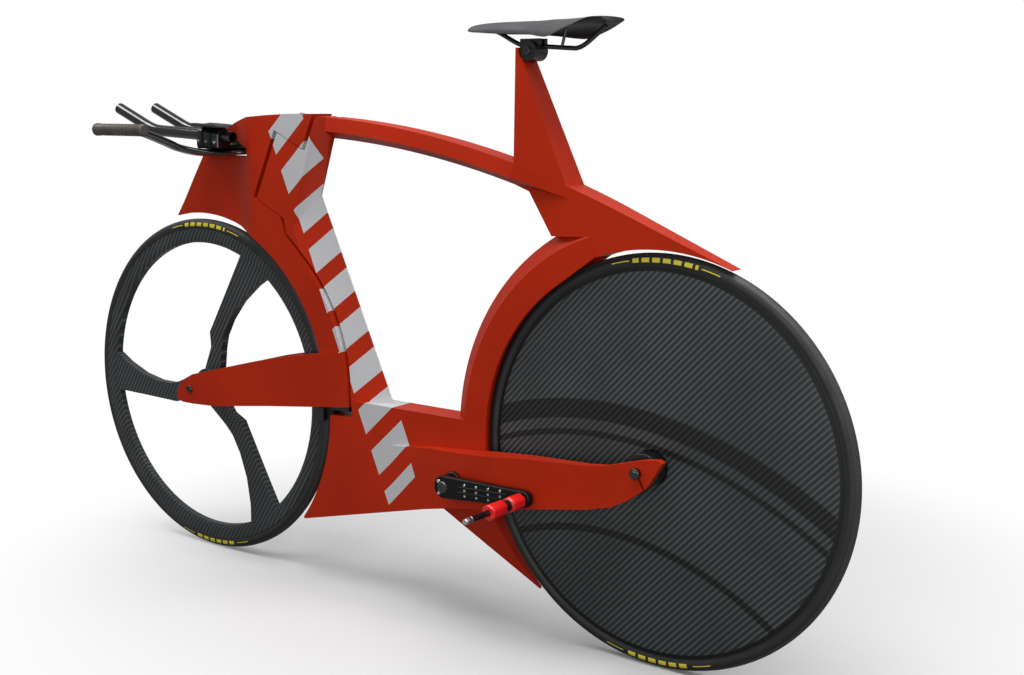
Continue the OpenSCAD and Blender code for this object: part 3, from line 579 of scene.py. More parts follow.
@cache
def paint_material():
    """Satin paint with a ladder of plain bars down the tube."""
    mat, tree, shader, where, grain = grained("satin_paint", 5.0, 1600.0)
    c = colours()
    bars = grouped(tree, bars_group, {
        "Vector": where, "Start": (0.600, 0, -0.150), "Along": (-0.391, 0, -0.920),
        "Across": (0.920, 0, -0.391), "Length": 0.728, "Half width": 0.047, "Pitch": sizes().bar_pitch,
        "Bar": 0.60, "Slant": -0.35,
    })
    base = blended(tree, grain["Tone"], toned(c.paint, 0.86), toned(c.paint))
    colour = blended(tree, bars["Mask"], base, toned(c.bars))
    dress(tree, shader, grain, colour, (0.46, 0.36), (grain["Height"], 0.06, 0.0003), {SPECULAR: 0.14})
    return mat


# Soft edge of the wheels' rims and stripes
SOFT = 0.002


def carbon_material(name, centre, slant, pitch, rim_from, stripes=(), pale=1.0):
    """Laid carbon: thin pale lines on a dark ground, a black rim, and arched stripes on a black ground."""
    mat, tree, shader, where, grain = grained(name, 7.0, 700.0)
    c = colours()
    wave = grouped(tree, lines_group, {"Vector": where, "Slant": slant, "Pitch": pitch})["Height"]
    cross = grouped(tree, lines_group, {"Vector": where, "Slant": slant + math.pi / 2, "Pitch": pitch / 4})
    radius = grouped(tree, polar_group, {"Vector": where, "Centre": centre})["Radius"]
    thin = steps(tree, wave, 0.37, 0.46)
    ground = product(tree, steps(tree, wave, 0.02, 0.16), 0.24)
    dark = steps(tree, radius, rim_from, rim_from + SOFT)
    stripe = 0.0
    for middle, inner, outer in stripes:
        arch = grouped(tree, polar_group, {"Vector": where, "Centre": middle})["Radius"]
        one = product(tree, steps(tree, arch, inner, inner + SOFT), steps(tree, arch, outer + SOFT, outer))
        stripe = maths(tree, "MAXIMUM", stripe, one)
    if stripes:
        ground = product(tree, ground, maths(tree, "SUBTRACT", 1.0, stripe))
        thin = product(tree, thin, maths(tree, "MULTIPLY_ADD", stripe, -0.35, 1.0))
        dark = maths(tree, "MAXIMUM", dark, product(tree, stripe, maths(tree, "SUBTRACT", 1.0, thin)))
    weave = maths(tree, "MULTIPLY_ADD", cross["Line"], 0.35, 0.65)
    broad = maths(tree, "MULTIPLY_ADD", grain["Tone"], 0.35, 0.65)
    tone = product(tree, maths(tree, "MAXIMUM", thin, ground), weave, broad)
    base = blended(tree, tone, toned(c.carbon_dark), toned(c.carbon_light, pale))
    colour = blended(tree, dark, base, toned(c.carbon_dark, 0.3))
    dress(tree, shader, grain, colour, (0.48, 0.38), (wave, 0.12, 0.0003), {
        SPECULAR: 0.3, "Coat Weight": 0.12, "Coat Roughness": 0.25,
    })
    return mat


# Tyre dashes: distance from the axle, turn of their middle, and blocks in a turn of one radian
DASH_R = WHEEL_R - 0.0105
DASH_TURN = 1.60
DASH_RATE = 17.0


def tyre_material(name, centre):
    """Rubber with a file tread on the crown, painted lighter grey there as painted sheen, and a few plain
    dashes on the sides.
    """
    mat, tree, shader, where, grain = grained(name, 16.0, 1500.0)
    c = colours()
    polar = grouped(tree, polar_group, {"Vector": where, "Centre": centre})
    turn, radius, side = (polar[k] for k in ("Turn", "Radius", "Side"))
    crown = steps(tree, radius, WHEEL_R - 0.0055, WHEEL_R - 0.0045)
    worn = blended(tree, grain["Tone"], toned(c.rubber), toned(c.rubber, 1.6))
    # Painted sheen: the crown is painted lighter grey where it would catch the light.
    painted_crown_sheen = blended(tree, crown, worn, toned(c.rubber, 4.2))
    off = maths(tree, "ABSOLUTE", maths(tree, "SUBTRACT", maths(tree, "ABSOLUTE", turn), DASH_TURN))
    tall = product(
        tree, maths(tree, "LESS_THAN", off, 0.18), maths(tree, "COMPARE", radius, DASH_R, 0.0036),
        maths(tree, "LESS_THAN", maths(tree, "FRACT", product(tree, turn, DASH_RATE)), 0.72),
    )
    thin = product(
        tree, maths(tree, "COMPARE", off, 0.25, 0.05), maths(tree, "COMPARE", radius, DASH_R, 0.0008),
    )
    colour = blended(tree, maths(tree, "MAXIMUM", tall, thin), painted_crown_sheen, toned(c.dashes))
    rows = maths(tree, "ADD", product(tree, turn, 140.0), product(tree, side, 420.0))
    tread = product(tree, maths(tree, "PINGPONG", rows, 0.5), crown)
    height = maths(tree, "MULTIPLY_ADD", grain["Height"], 0.3, tread)
    dress(tree, shader, grain, colour, (0.62, 0.5), (height, 0.35, FINE_BUMP), {})
    return mat


def banded_material(name, colour, dark, low, high, rough, others):
    """One colour with a dark band where the distance from the bike's middle is between low and high."""
    mat, tree, shader, where, grain = grained(name, 30.0, 1400.0)
    off = maths(tree, "ABSOLUTE", parted(tree, where)[1])
    band = maths(tree, "COMPARE", off, (low + high) / 2, (high - low) / 2)
    tone = blended(tree, grain["Tone"], toned(colour, 0.82), toned(colour))
    banded = blended(tree, band, tone, toned(dark))
    dress(tree, shader, grain, banded, (rough * 1.2, rough), (grain["Height"], 0.1, FINE_BUMP), others)
    return mat


def saddle_material():
    """Grey cover with a black underside: a black skin painted lighter grey on its upper faces as painted
    light, and left black on its downward faces, which are in shade.
    """
    mat, tree, shader, _, grain = grained("saddle_skin", 20.0, 1300.0)
    under = add(tree, "ShaderNodeAttribute", attribute_name="under").outputs["Fac"]
    # Painted light: the upper faces of the black skin are painted lighter grey.
    cover = blended(tree, grain["Tone"], (0.052, 0.053, 0.056, 1), (0.066, 0.068, 0.071, 1))
    colour = blended(tree, under, cover, toned(colours().black))
    dress(tree, shader, grain, colour, (0.56, 0.44), (grain["Height"], 0.35, FINE_BUMP), {SPECULAR: 0.4})
    return mat


# Geometry node trees for what repeats

def new_tree(name, inputs):
    """Geometry node tree with named inputs after its geometry, its inputs and its output node."""
    tree = bpy.data.node_groups.new(name, "GeometryNodeTree")
    geometry = [("Geometry", "NodeSocketGeometry")]
    sockets(tree, "INPUT", geometry)
    sockets(tree, "OUTPUT", geometry)
    sockets(tree, "INPUT", inputs + [("Material", "NodeSocketMaterial")])
    return tree, tree.nodes.new("NodeGroupInput").outputs, tree.nodes.new("NodeGroupOutput")


def end_tree(tree, inp, out, geometry):
    """Ends a tree with real geometry in its material."""
    real = add(tree, "GeometryNodeRealizeInstances", {0: geometry})
    done = add(tree, "GeometryNodeSetMaterial", {"Geometry": real.outputs[0], "Material": inp["Material"]})
    tree.links.new(done.outputs[0], out.inputs[0])
    return tree


def turned_geometry(tree, geometry, move=ORIGIN, turn=ORIGIN, scale=(1, 1, 1)):
    """Output of a Transform Geometry node."""
    return add(
        tree, "GeometryNodeTransform",
        {"Geometry": geometry, "Translation": move, "Rotation": turn, "Scale": scale},
    ).outputs[0]


def joined_geometry(tree, parts):
    """Output of a Join Geometry node."""
    node = add(tree, "GeometryNodeJoinGeometry")
    for part in parts:
        tree.links.new(part, node.inputs[0])
    return node.outputs[0]


def circle(tree, sides, radius):
    """Output of a Curve Circle node."""
    return add(tree, "GeometryNodeCurvePrimitiveCircle", {"Resolution": sides, "Radius": radius}).outputs[0]


def cylinder(tree, sides, radius, depth):
    """Mesh of a Cylinder node."""
    values = {"Vertices": sides, "Radius": radius, "Depth": depth}
    return add(tree, "GeometryNodeMeshCylinder", values).outputs["Mesh"]


@cache
def bolt_tree():
    """Tree: a round head with a hexagon socket at each point, facing along its attribute."""
    tree, inp, out = new_tree("Bolt heads", [
        ("Radius", FLOAT, 0.004), ("Depth", FLOAT, 0.003), ("Socket", FLOAT, 0.002),
    ])
    head = add(tree, "GeometryNodeMeshCone", {
        "Vertices": 20, "Radius Bottom": inp["Radius"], "Radius Top": product(tree, inp["Radius"], 0.84),
        "Depth": inp["Depth"],
    })
    socket = cylinder(tree, 6, inp["Socket"], inp["Depth"])
    lifted = turned_geometry(tree, socket, vector_of(tree, 0.0, 0.0, inp["Depth"]))
    cut = add(tree, "GeometryNodeMeshBoolean", {0: head.outputs["Mesh"], 1: lifted}, operation="DIFFERENCE")
    facing = add(tree, "GeometryNodeInputNamedAttribute", {"Name": "facing"}, data_type="FLOAT_VECTOR")
    aligned = add(tree, "FunctionNodeAlignRotationToVector", {"Vector": facing.outputs[0]}, axis="Z")
    spread = add(tree, "GeometryNodeInstanceOnPoints", {
        "Points": inp["Geometry"], "Instance": cut.outputs["Mesh"], "Rotation": aligned.outputs[0],
    })
    return end_tree(tree, inp, out, spread.outputs[0])


@cache
def chain_tree():
    """Tree: inner and outer chain links in turn along a closed line in the side view."""
    tree, inp, out = new_tree("Chain links", [
        ("Links", WHOLE, 116), ("Half length", FLOAT, 0.0105), ("Half height", FLOAT, 0.0038),
        ("Plate", FLOAT, 0.0009), ("Inner", FLOAT, 0.0016), ("Outer", FLOAT, 0.0026),
        ("Roller", FLOAT, 0.0034),
    ])
    flat = (math.pi / 2, 0, 0)
    plate = cylinder(tree, 14, 1.0, 1.0)
    size = vector_of(tree, inp["Half length"], inp["Half height"], inp["Plate"])
    barrel = cylinder(tree, 10, inp["Roller"], product(tree, inp["Outer"], 1.6))
    links = []
    for label in ("Inner", "Outer"):
        parts = []
        for sign in (1.0, -1.0):
            move = vector_of(tree, 0.0, product(tree, inp[label], sign), 0.0)
            parts.append(turned_geometry(tree, plate, move, flat, size))
        for sign in (0.6, -0.6):
            move = vector_of(tree, product(tree, inp["Half length"], sign), 0.0, 0.0)
            parts.append(turned_geometry(tree, barrel, move, flat, (0.62, 0.62, 1)))
        links.append(joined_geometry(tree, parts))
    curve = add(tree, "GeometryNodeMeshToCurve", {"Mesh": inp["Geometry"]})
    even = add(tree, "GeometryNodeResampleCurve", {"Curve": curve.outputs[0], "Count": inp["Links"]})
    tangent = add(tree, "GeometryNodeInputTangent").outputs[0]
    aligned = add(tree, "FunctionNodeAlignRotationToVector", {"Vector": tangent}, axis="X", pivot_axis="Y")
    odd = maths(tree, "MODULO", add(tree, "GeometryNodeInputIndex").outputs[0], 2.0)
    spread = [
        add(tree, "GeometryNodeInstanceOnPoints", {
            "Points": even.outputs[0], "Instance": link, "Rotation": aligned.outputs[0], "Selection": chosen,
        }).outputs[0]
        for link, chosen in zip(links, (odd, maths(tree, "SUBTRACT", 1.0, odd)))
    ]
    return end_tree(tree, inp, out, joined_geometry(tree, spread))


@cache
def toothed_tree():
    """Tree: a flat ring with teeth round it, standing across Y at a place."""
    tree, inp, out = new_tree("Toothed ring", [
        ("Teeth", WHOLE, 20), ("Root", FLOAT, 0.04), ("Tooth", FLOAT, 0.003), ("Bore", FLOAT, 0.02),
        ("Thickness", FLOAT, 0.0017), ("Place", VECTOR, ORIGIN),
    ])
    edge = circle(tree, product(tree, inp["Teeth"], 4.0), inp["Root"])
    place = maths(tree, "MODULO", add(tree, "GeometryNodeInputIndex").outputs[0], 4.0)
    tip = product(tree, maths(tree, "GREATER_THAN", place, 1.5), inp["Tooth"])
    ray = vectors(tree, "NORMALIZE", add(tree, "GeometryNodeInputPosition").outputs[0])
    push = add(tree, "ShaderNodeVectorMath", {0: ray, "Scale": tip}, operation="SCALE").outputs[0]
    toothed = add(tree, "GeometryNodeSetPosition", {"Geometry": edge, "Offset": push}).outputs[0]
    outline = joined_geometry(tree, (toothed, circle(tree, 40, inp["Bore"])))
    filled = add(tree, "GeometryNodeFillCurve", {0: outline}).outputs[0]
    lift = vector_of(tree, 0.0, 0.0, inp["Thickness"])
    raised = add(tree, "GeometryNodeExtrudeMesh", {"Mesh": filled, "Offset": lift, "Individual": False})
    under = add(tree, "GeometryNodeFlipFaces", {0: filled})
    closed = joined_geometry(tree, (raised.outputs[0], under.outputs[0]))
    merged = add(tree, "GeometryNodeMergeByDistance", {"Geometry": closed, "Distance": MERGE})
    stood = turned_geometry(tree, merged.outputs[0], inp["Place"], (math.pi / 2, 0, 0))
    return end_tree(tree, inp, out, stood)


@cache
def rib_tree():
    """Tree: round ribs in a row along X."""
    tree, inp, out = new_tree("Ribs in a row", [
        ("Count", WHOLE, 18), ("From", VECTOR, ORIGIN), ("To", VECTOR, (1, 0, 0)), ("Radius", FLOAT, 0.011),
        ("Rib", FLOAT, 0.0012),
    ])
    swept = add(tree, "GeometryNodeCurveToMesh", {
        "Curve": circle(tree, 24, inp["Radius"]), "Profile Curve": circle(tree, 6, inp["Rib"]),
    })
    stood = turned_geometry(tree, swept.outputs[0], turn=(0, math.pi / 2, 0))
    row = add(
        tree, "GeometryNodeMeshLine",
        {"Count": inp["Count"], "Start Location": inp["From"], "Offset": inp["To"]}, mode="END_POINTS",
    )
    spread = add(tree, "GeometryNodeInstanceOnPoints", {"Points": row.outputs[0], "Instance": stood})
    return end_tree(tree, inp, out, spread.outputs[0])


def points_object(name, places, edges=()):
    """Object of bare points, each with the direction it faces."""
    mesh = bpy.data.meshes.new(name)
    mesh.from_pydata([tuple(p) for p, _ in places], list(edges), [])
    facing = mesh.attributes.new("facing", "FLOAT_VECTOR", "POINT")
    for i, (_, way) in enumerate(places):
        facing.data[i].vector = way
    return new_object(name, mesh)


def grown(name, maker, material, values, places=((ORIGIN, UPWARD),), edges=()):
    """Object made by a tree from points, as a plain mesh."""
    obj = points_object(name, places, edges)
    tree = maker()
    ids = {i.name: i.identifier for i in tree.interface.items_tree if i.in_out == "INPUT"}
    mod = obj.modifiers.new("Nodes", "NODES")
    mod.node_group = tree
    for label, value in {**values, "Material": material}.items():
        mod[ids[label]] = value
    baked(obj)
    if not obj.data.polygons:
        raise RuntimeError(f"{name}: the node tree made nothing")
    return obj


def bolts(name, places, size, material, body):
    """Bolt heads on one body as one piece. The size is a head's radius, its depth and its socket's radius."""
    values = dict(zip(("Radius", "Depth", "Socket"), size))
    return fitted(shaded(grown(name, bolt_tree, material, values, places), 30), material, body, "steel")


# Stage

# Lamps: name, place, what it points at, side in metres and power
LAMPS = (
    ("overhead", (-0.1, 0.3, 2.6), (0.2, 0, -0.6), 3.0, 120),
    ("behind_camera", (-1.6, 3.8, 0.0), (0.2, 0, -0.7), 2.4, 66),
    ("behind_bike", (-3.2, -0.4, 1.4), (0.0, 0, -0.4), 2.0, 30),
    ("bar_tips", (2.28, 0.84, 1.84), (1.1, 0, -0.1), 0.9, 24),
)
AMBIENT = 0.20
WHITE = (1, 1, 1, 1)
FLOOR_COLOUR = (0.72, 0.72, 0.73, 1)
FLOOR_BOUNCE = (0.06, 0.06, 0.06, 1)
FLOOR_HALF = 14.0
# The floor turns white between these distances from its middle. The middle sits behind the bike, so the
# dimmer lit floor round it is partly real shadow and partly painted shade.
SHADE_POOL_MIDDLE = (0.2, -0.25)
SHADE_POOL_FADE = (0.50, 1.20)
# How much of the pale floor and backdrop a reflection shows
MIRRORED = 0.2
CAMERA_PLACE = (-1.28508, 1.85817, -0.12500)
CAMERA_WAY = (0.5868, -0.7920, -0.1689)
CAMERA_LENS = 48.88


class BIKE_OT_stage(bpy.types.Operator):
    """Sets the camera, the floor and the studio's lamps"""
    bl_idname = "bike.stage"
    bl_label = "Stage"

    def seen(self, tree):
        """1 for what the camera sees, also through glass, and a share of it in reflections."""
        path = add(tree, "ShaderNodeLightPath").outputs
        direct = maths(tree, "MAXIMUM", path["Is Camera Ray"], path["Is Transmission Ray"])
        return maths(tree, "MAXIMUM", direct, product(tree, path["Is Glossy Ray"], MIRRORED))

    def placed(self, name, data, place, way):
        """Camera or lamp at a place, looking one way."""
        obj = new_object(name, data)
        obj.location = place
        obj.rotation_mode = "QUATERNION"
        obj.rotation_quaternion = Vector(way).to_track_quat("-Z", "Y")
        return obj

    def floor(self):
        """Pale floor that keeps the shadow near the bike, in a dimmer pool set behind the bike as partly
        painted shade, and is white further off.
        """
        corners = ((-1, -1), (1, -1), (1, 1), (-1, 1))
        verts = [(x * FLOOR_HALF, y * FLOOR_HALF, FLOOR_Z) for x, y in corners]
        floor = mesh_object("floor", verts, [(0, 1, 2, 3)])
        mat, tree, shader, where = new_material("pale_floor")
        squares = [
            maths(tree, "POWER", maths(tree, "SUBTRACT", value, middle), 2.0)
            for value, middle in zip(parted(tree, where), SHADE_POOL_MIDDLE)
        ]
        # Painted shade: the floor stays dimmer in a pool behind the bike and turns white further off.
        far = steps(tree, maths(tree, "SQRT", maths(tree, "ADD", *squares)), *SHADE_POOL_FADE)
        seen = self.seen(tree)
        fill(tree, shader, {
            "Base Color": blended(tree, seen, FLOOR_BOUNCE, FLOOR_COLOUR), "Roughness": 0.8, SPECULAR: 0.1,
        })
        glow = add(tree, "ShaderNodeEmission", {"Color": WHITE, "Strength": 1.0})
        mixed = add(tree, "ShaderNodeMixShader", {
            0: product(tree, far, seen), 1: shader.outputs[0], 2: glow.outputs[0],
        })
        output = next(n for n in tree.nodes if n.type == "OUTPUT_MATERIAL")
        tree.links.new(mixed.outputs[0], output.inputs[0])
        floor.data.materials.append(mat)

    def execute(self, context):
        scene = context.scene
        scene.view_settings.view_transform = "Standard"
        camera = self.placed("camera", bpy.data.cameras.new("camera"), CAMERA_PLACE, CAMERA_WAY)
        camera.data.lens = CAMERA_LENS
        camera.data.sensor_width = 36
        scene.camera = camera
        self.floor()
        for name, place, aim, size, power in LAMPS:
            data = bpy.data.lights.new(name, "AREA")
            data.size = size
            data.energy = power
            self.placed(name, data, place, Vector(aim) - Vector(place))
        world = bpy.data.worlds.new("studio")
        world.use_nodes = True
        scene.world = world
        tree = world.node_tree
        back = next(n for n in tree.nodes if n.type == "BACKGROUND")
        fill(tree, back, {"Color": WHITE, "Strength": ranged(tree, self.seen(tree), AMBIENT, 1.0)})
        return {"FINISHED"}


# Pieces, one operator for each group of like ones

class BIKE_OT_shells(bpy.types.Operator):
    """Builds the painted frame and the painted front unit"""
    bl_idname = "bike.shells"
    bl_label = "Frame and front unit"

    def execute(self, context):
        for name, nodes, body in (
            ("frame_shell", FRAME_NODES, "frame"), ("front_shell", FRONT_NODES, "front_unit"),
        ):
            shell = softened(united(name, nodes), sizes().edge, angle=30, crease=1.5)
            fitted(shell, paint_material(), body, "frame_paint", *nodes)
        return {"FINISHED"}


TYRE_HALF = 0.0125
# Height of the tread over the sides, and the angle from the crown where it begins
TREAD_H, TREAD_EDGE = 0.0004, 34
# Bead of a tyre: distance out from the rim and half width
BEAD = ((-0.0012, 0.0098), (0.0008, 0.0106), (0.0016, 0.0103), (0.0026, 0.0113))


def tyre_profile():
    """Half-round tyre with a raised tread and a bead at the rim."""
    half = [(RIM_R + rise, y) for rise, y in BEAD]
    for k in range(15):
        turn = 90 - k * 6.2
        r = TYRE_HALF if turn < TREAD_EDGE else TYRE_HALF - TREAD_H
        a = math.radians(turn)
        half.append((WHEEL_R - TYRE_HALF + r * math.cos(a), r * math.sin(a)))
    return half + [(r, -y) for r, y in reversed(half)]


class BIKE_OT_tyres(bpy.types.Operator):
    """Builds both tyres"""
    bl_idname = "bike.tyres"
    bl_label = "Tyres"

    def execute(self, context):
        for side, centre in (("front", FRONT_AXLE), ("rear", REAR_AXLE)):
            tyre = shaded(lathe(f"{side}_tyre_rubber", tyre_profile(), centre, 180), 40)
            rubber = tyre_material(f"{side}_tyre", centre)
            fitted(tyre, rubber, f"{side}_wheel", "tyre_rubber", f"{side}_tyre")
        return {"FINISHED"}


# Disc: half width at the axle and how much less at the rim, and the radii of the rings on its lens
DISC_HALF, DISC_FALL = 0.024, 0.013
DISC_RINGS = (0.029, 0.036, 0.043, *(0.05 + 0.2455 * k / 16 for k in range(1, 17)), 0.3045)
DISC_BORE, DISC_TRACK = 0.0275, 0.3085


def disc_profile():
    """Lens of the disc wheel from its bore to its rim, with a soft step at the brake track."""
    def half(r):
        return DISC_HALF - DISC_FALL * (r / RIM_R) ** 2

    side = [(DISC_BORE, half(DISC_BORE) - 0.001)]
    side += [(r, half(r)) for r in DISC_RINGS]
    side += [(DISC_TRACK, half(DISC_TRACK) - 0.0005), (RIM_R - 0.001, half(RIM_R) - 0.0008)]
    return side + [(r, -y) for r, y in reversed(side)]


# Middle of the disc's arched stripes, and each one's inner and outer radius
ARCH = REAR_AXLE + Vector((0.09, 0, -0.60))
ARCHES = ((0.660, 0.692), (0.632, 0.642), (0.470, 0.482))


class BIKE_OT_wheels(bpy.types.Operator):
    """Builds the spoked front wheel, the rear disc, the hubs and the axle ends"""
    bl_idname = "bike.wheels"
    bl_label = "Wheels"

    def execute(self, context):
        pitch = sizes().line_pitch
        carbon = carbon_material("front_carbon", FRONT_AXLE, -1.0, pitch * 1.06, RIM_R + 0.01, pale=0.85)
        rounded_node(
            "front_wheel_shell", "front_rim", 0.0055, carbon, "front_wheel", "carbon", segments=4, angle=35,
        )
        disc = shaded(lathe("rear_disc_shell", disc_profile(), REAR_AXLE, 192), 25)
        stripes = [(ARCH, inner, outer) for inner, outer in ARCHES]
        carbon = carbon_material("disc_carbon", REAR_AXLE, -0.80, pitch, RIM_R - 0.009, stripes)
        fitted(disc, carbon, "rear_wheel", "carbon", "rear_disc")
        for end in ("front", "rear"):
            rounded_node(
                f"{end}_hub_shell", f"{end}_hub", 0.0015, plain("satin_alloy"), f"{end}_wheel", "black_alloy",
            )
        rounded_node("rear_axle_caps", "rear_axle", 0.0025, plain("gloss_black"), "frame", "steel")
        rounded_node("front_axle_bolts", "front_axle", 0.0007, plain("satin_alloy"), "front_unit", "steel")
        return {"FINISHED"}


# What the chain runs round, from the rear axle in the side view: centre, radius and sense
CHAIN_TURNS = (
    (Vector((0.038, -0.128)), 0.022, 1), (Vector((0.3725, -0.081)), 0.105, 1),
    (Vector((0, 0)), 0.039, 1), (Vector((0.014, -0.068)), 0.022, -1),
)
# Cogs from the largest outward: teeth, root radius and tooth height. Then the first one's place and the step.
COGS = (
    (25, 0.0480, 0.0040), (22, 0.0420, 0.0040), (19, 0.0363, 0.0040), (17, 0.0320, 0.0040),
    (15, 0.0281, 0.0035), (13, 0.0242, 0.0035),
)
COG_Y, COG_STEP = -0.0325, -0.0036
COG_BODY = ((0.0175, -0.0312), (0.0205, -0.0312), (0.0205, -0.0524), (0.0175, -0.0524))


def chain_loop():
    """Chain's middle line round its four wheels."""
    def run(i):
        (a, a_r, a_way), (b, b_r, b_way) = CHAIN_TURNS[i % 4], CHAIN_TURNS[(i + 1) % 4]
        d = b - a
        return math.atan2(d.y, d.x) + math.asin((a_r * a_way - b_r * b_way) / d.length)

    line = []
    for i, (centre, radius, sense) in enumerate(CHAIN_TURNS):
        start = run(i + 3)
        bend = (run(i) - start) % (2 * math.pi)
        bend = bend if sense > 0 else bend - 2 * math.pi
        for k in range(25):
            a = start + bend * k / 24
            spot = centre + radius * sense * Vector((math.sin(a), -math.cos(a)))
            line.append(REAR_AXLE + Vector((spot.x, CHAIN_Y, spot.y)))
    return line


class BIKE_OT_drive(bpy.types.Operator):
    """Builds the chain, cassette, chainring, derailleur and cranks"""
    bl_idname = "bike.drive"
    bl_label = "Drive"

    def execute(self, context):
        bright, dark, alloy = plain("bright_steel"), plain("dark_steel"), plain("satin_alloy")
        crank = plain("crank_black")
        line = chain_loop()
        loop = [(i, (i + 1) % len(line)) for i in range(len(line))]
        places = [(p, UPWARD) for p in line]
        chain = grown("chain_links", chain_tree, bright, {"Links": sizes().links}, places, loop)
        fitted(shaded(chain, 30), bright, "frame", "steel", "chain")

        cogs = []
        for k, (teeth, root, tooth) in enumerate(COGS):
            cogs.append(grown(f"cog_{k}", toothed_tree, dark, {
                "Teeth": teeth, "Root": root, "Tooth": tooth, "Bore": 0.0195,
                "Place": (REAR_AXLE.x, COG_Y + COG_STEP * k, REAR_AXLE.z),
            }))
        cogs.append(lathe("cog_body", COG_BODY, REAR_AXLE, 40))
        fitted(shaded(joined("cassette_cogs", cogs), 30), dark, "rear_wheel", "steel", "cassette")

        rounded_node("chainring_spider", "chainring", 0.0009, alloy, "crank", "black_alloy", segments=2)
        teeth = grown("chainring_teeth", toothed_tree, dark, {
            "Teeth": 52, "Root": 0.1008, "Tooth": 0.0048, "Bore": 0.0935,
            "Place": (BRACKET.x, CHAIN_Y + 0.0008, BRACKET.z),
        })
        fitted(shaded(teeth, 30), dark, "crank", "black_alloy")
        for node, material, slot, body, width in (
            ("rear_derailleur", alloy, "black_alloy", "frame", 0.0009),
            ("jockey_wheels", alloy, "black_alloy", "frame", 0.0006),
            ("bottom_bracket", alloy, "black_alloy", "frame", 0.0015),
            ("crank_spindle", dark, "steel", "crank", 0.0010),
            ("crank_arm_left", crank, "black_alloy", "crank", 0.0035),
            ("crank_arm_right", crank, "black_alloy", "crank", 0.0035),
        ):
            rounded_node(node + "_shape", node, width, material, body, slot)
        return {"FINISHED"}


# Profiles of a pedal and its spindle: radius and distance from the bike's middle
PEDAL = (
    (0.0056, 0.0953), (0.0118, 0.0953), (0.0130, 0.0962), (0.0135, 0.0980), (0.0135, 0.1245),
    (0.0130, 0.1262), (0.0092, 0.1290), (0.0092, 0.1420), (0.0130, 0.1448), (0.0135, 0.1465),
    (0.0135, 0.1775), (0.0130, 0.1795), (0.0118, 0.1808), (0.0056, 0.1808),
)
SPINDLE = (
    (0.0003, 0.090), (0.0050, 0.090), (0.0050, 0.2230), (0.0043, 0.2240), (0.0043, 0.2262), (0.0050, 0.2272),
    (0.0050, 0.2385), (0.0042, 0.2400), (0.0003, 0.2400),
)
# Lobes round a pedal, their depth as a share of its radius, and the radius inside which it stays round
LOBES, LOBE_DEPTH, LOBE_FROM = 6, 0.07, 0.0095


def pedal_place(side):
    """Middle of a pedal's spindle in the side view: 1 is the left, -1 the right."""
    return BRACKET + side * CRANK_L * heading(CRANK_ANGLE)


class BIKE_OT_pedals(bpy.types.Operator):
    """Builds both pedals and their spindles"""
    bl_idname = "bike.pedals"
    bl_label = "Pedals"

    def execute(self, context):
        c = colours()
        red = banded_material("red_shell", c.pedal, c.black, 0.1285, 0.1435, 0.3, {"Coat Weight": 0.4})
        steel = banded_material(
            "spindle_steel", STEEL, (0.09, 0.09, 0.095), 0.0, 0.2235, 0.24, {"Metallic": 1.0},
        )
        for name, side in SIDES:
            centre = pedal_place(side)
            pedal = lathe(f"pedal_body_{name}", [(r, side * y) for r, y in PEDAL], centre, 40)
            for v in pedal.data.vertices:
                off = v.co - centre
                if math.hypot(off.x, off.z) > LOBE_FROM:
                    lobe = 1 - LOBE_DEPTH * (0.5 + 0.5 * math.cos(LOBES * math.atan2(off.z, off.x)))
                    v.co = centre + Vector((off.x * lobe, off.y, off.z * lobe))
            fitted(shaded(pedal, 40), red, f"{name}_pedal", "pedal_red", f"pedal_{name}")
            pin = lathe(f"pedal_spindle_{name}", [(r, side * y) for r, y in SPINDLE], centre, 24)
            fitted(shaded(pin, 30), steel, "crank", "steel", f"pedal_pin_{name}")
        return {"FINISHED"}


# Saddle from back to front: place along, half width, and the heights of its top, its edge and its underside
SADDLE = (
    (-0.099, 0.030, 0.0015, 0.0005, -0.005), (-0.094, 0.047, 0.0015, -0.001, -0.0065),
    (-0.084, 0.056, 0.0015, -0.004, -0.009), (-0.066, 0.061, 0.001, -0.012, -0.011),
    (-0.045, 0.063, 0.0005, -0.020, -0.012), (-0.020, 0.059, 0.000, -0.029, -0.013),
    (0.004, 0.049, 0.000, -0.028, -0.014), (0.024, 0.039, -0.001, -0.025, -0.015),
    (0.057, 0.027, -0.001, -0.022, -0.016), (0.084, 0.0232, -0.001, -0.0207, -0.016),
    (0.110, 0.021, -0.001, -0.020, -0.016), (0.140, 0.0192, -0.002, -0.018, -0.0155),
    (0.162, 0.0165, -0.004, -0.0165, -0.0150), (0.174, 0.0115, -0.007, -0.0145, -0.0150),
    (0.179, 0.0045, -0.0105, -0.0135, -0.0145),
)
SADDLE_SIDES = 40
# Faces whose normal points further down than this are the saddle's underside, which keeps the black skin
# while the faces above are painted lighter as painted light
PAINTED_LIGHT_TILT = -0.15
# Saddle rail and its strut in the side view, each with its radius
RAILS = (
    (0.0038, (
        (0.129, -0.015), (0.117, -0.018), (0.083, -0.0345), (0.066, -0.0395), (0.030, -0.0415),
        (-0.022, -0.045), (-0.038, -0.045), (-0.056, -0.037), (-0.090, -0.012),
    )),
    (0.0026, ((-0.007, -0.043), (-0.011, -0.029), (-0.015, -0.0145))),
)


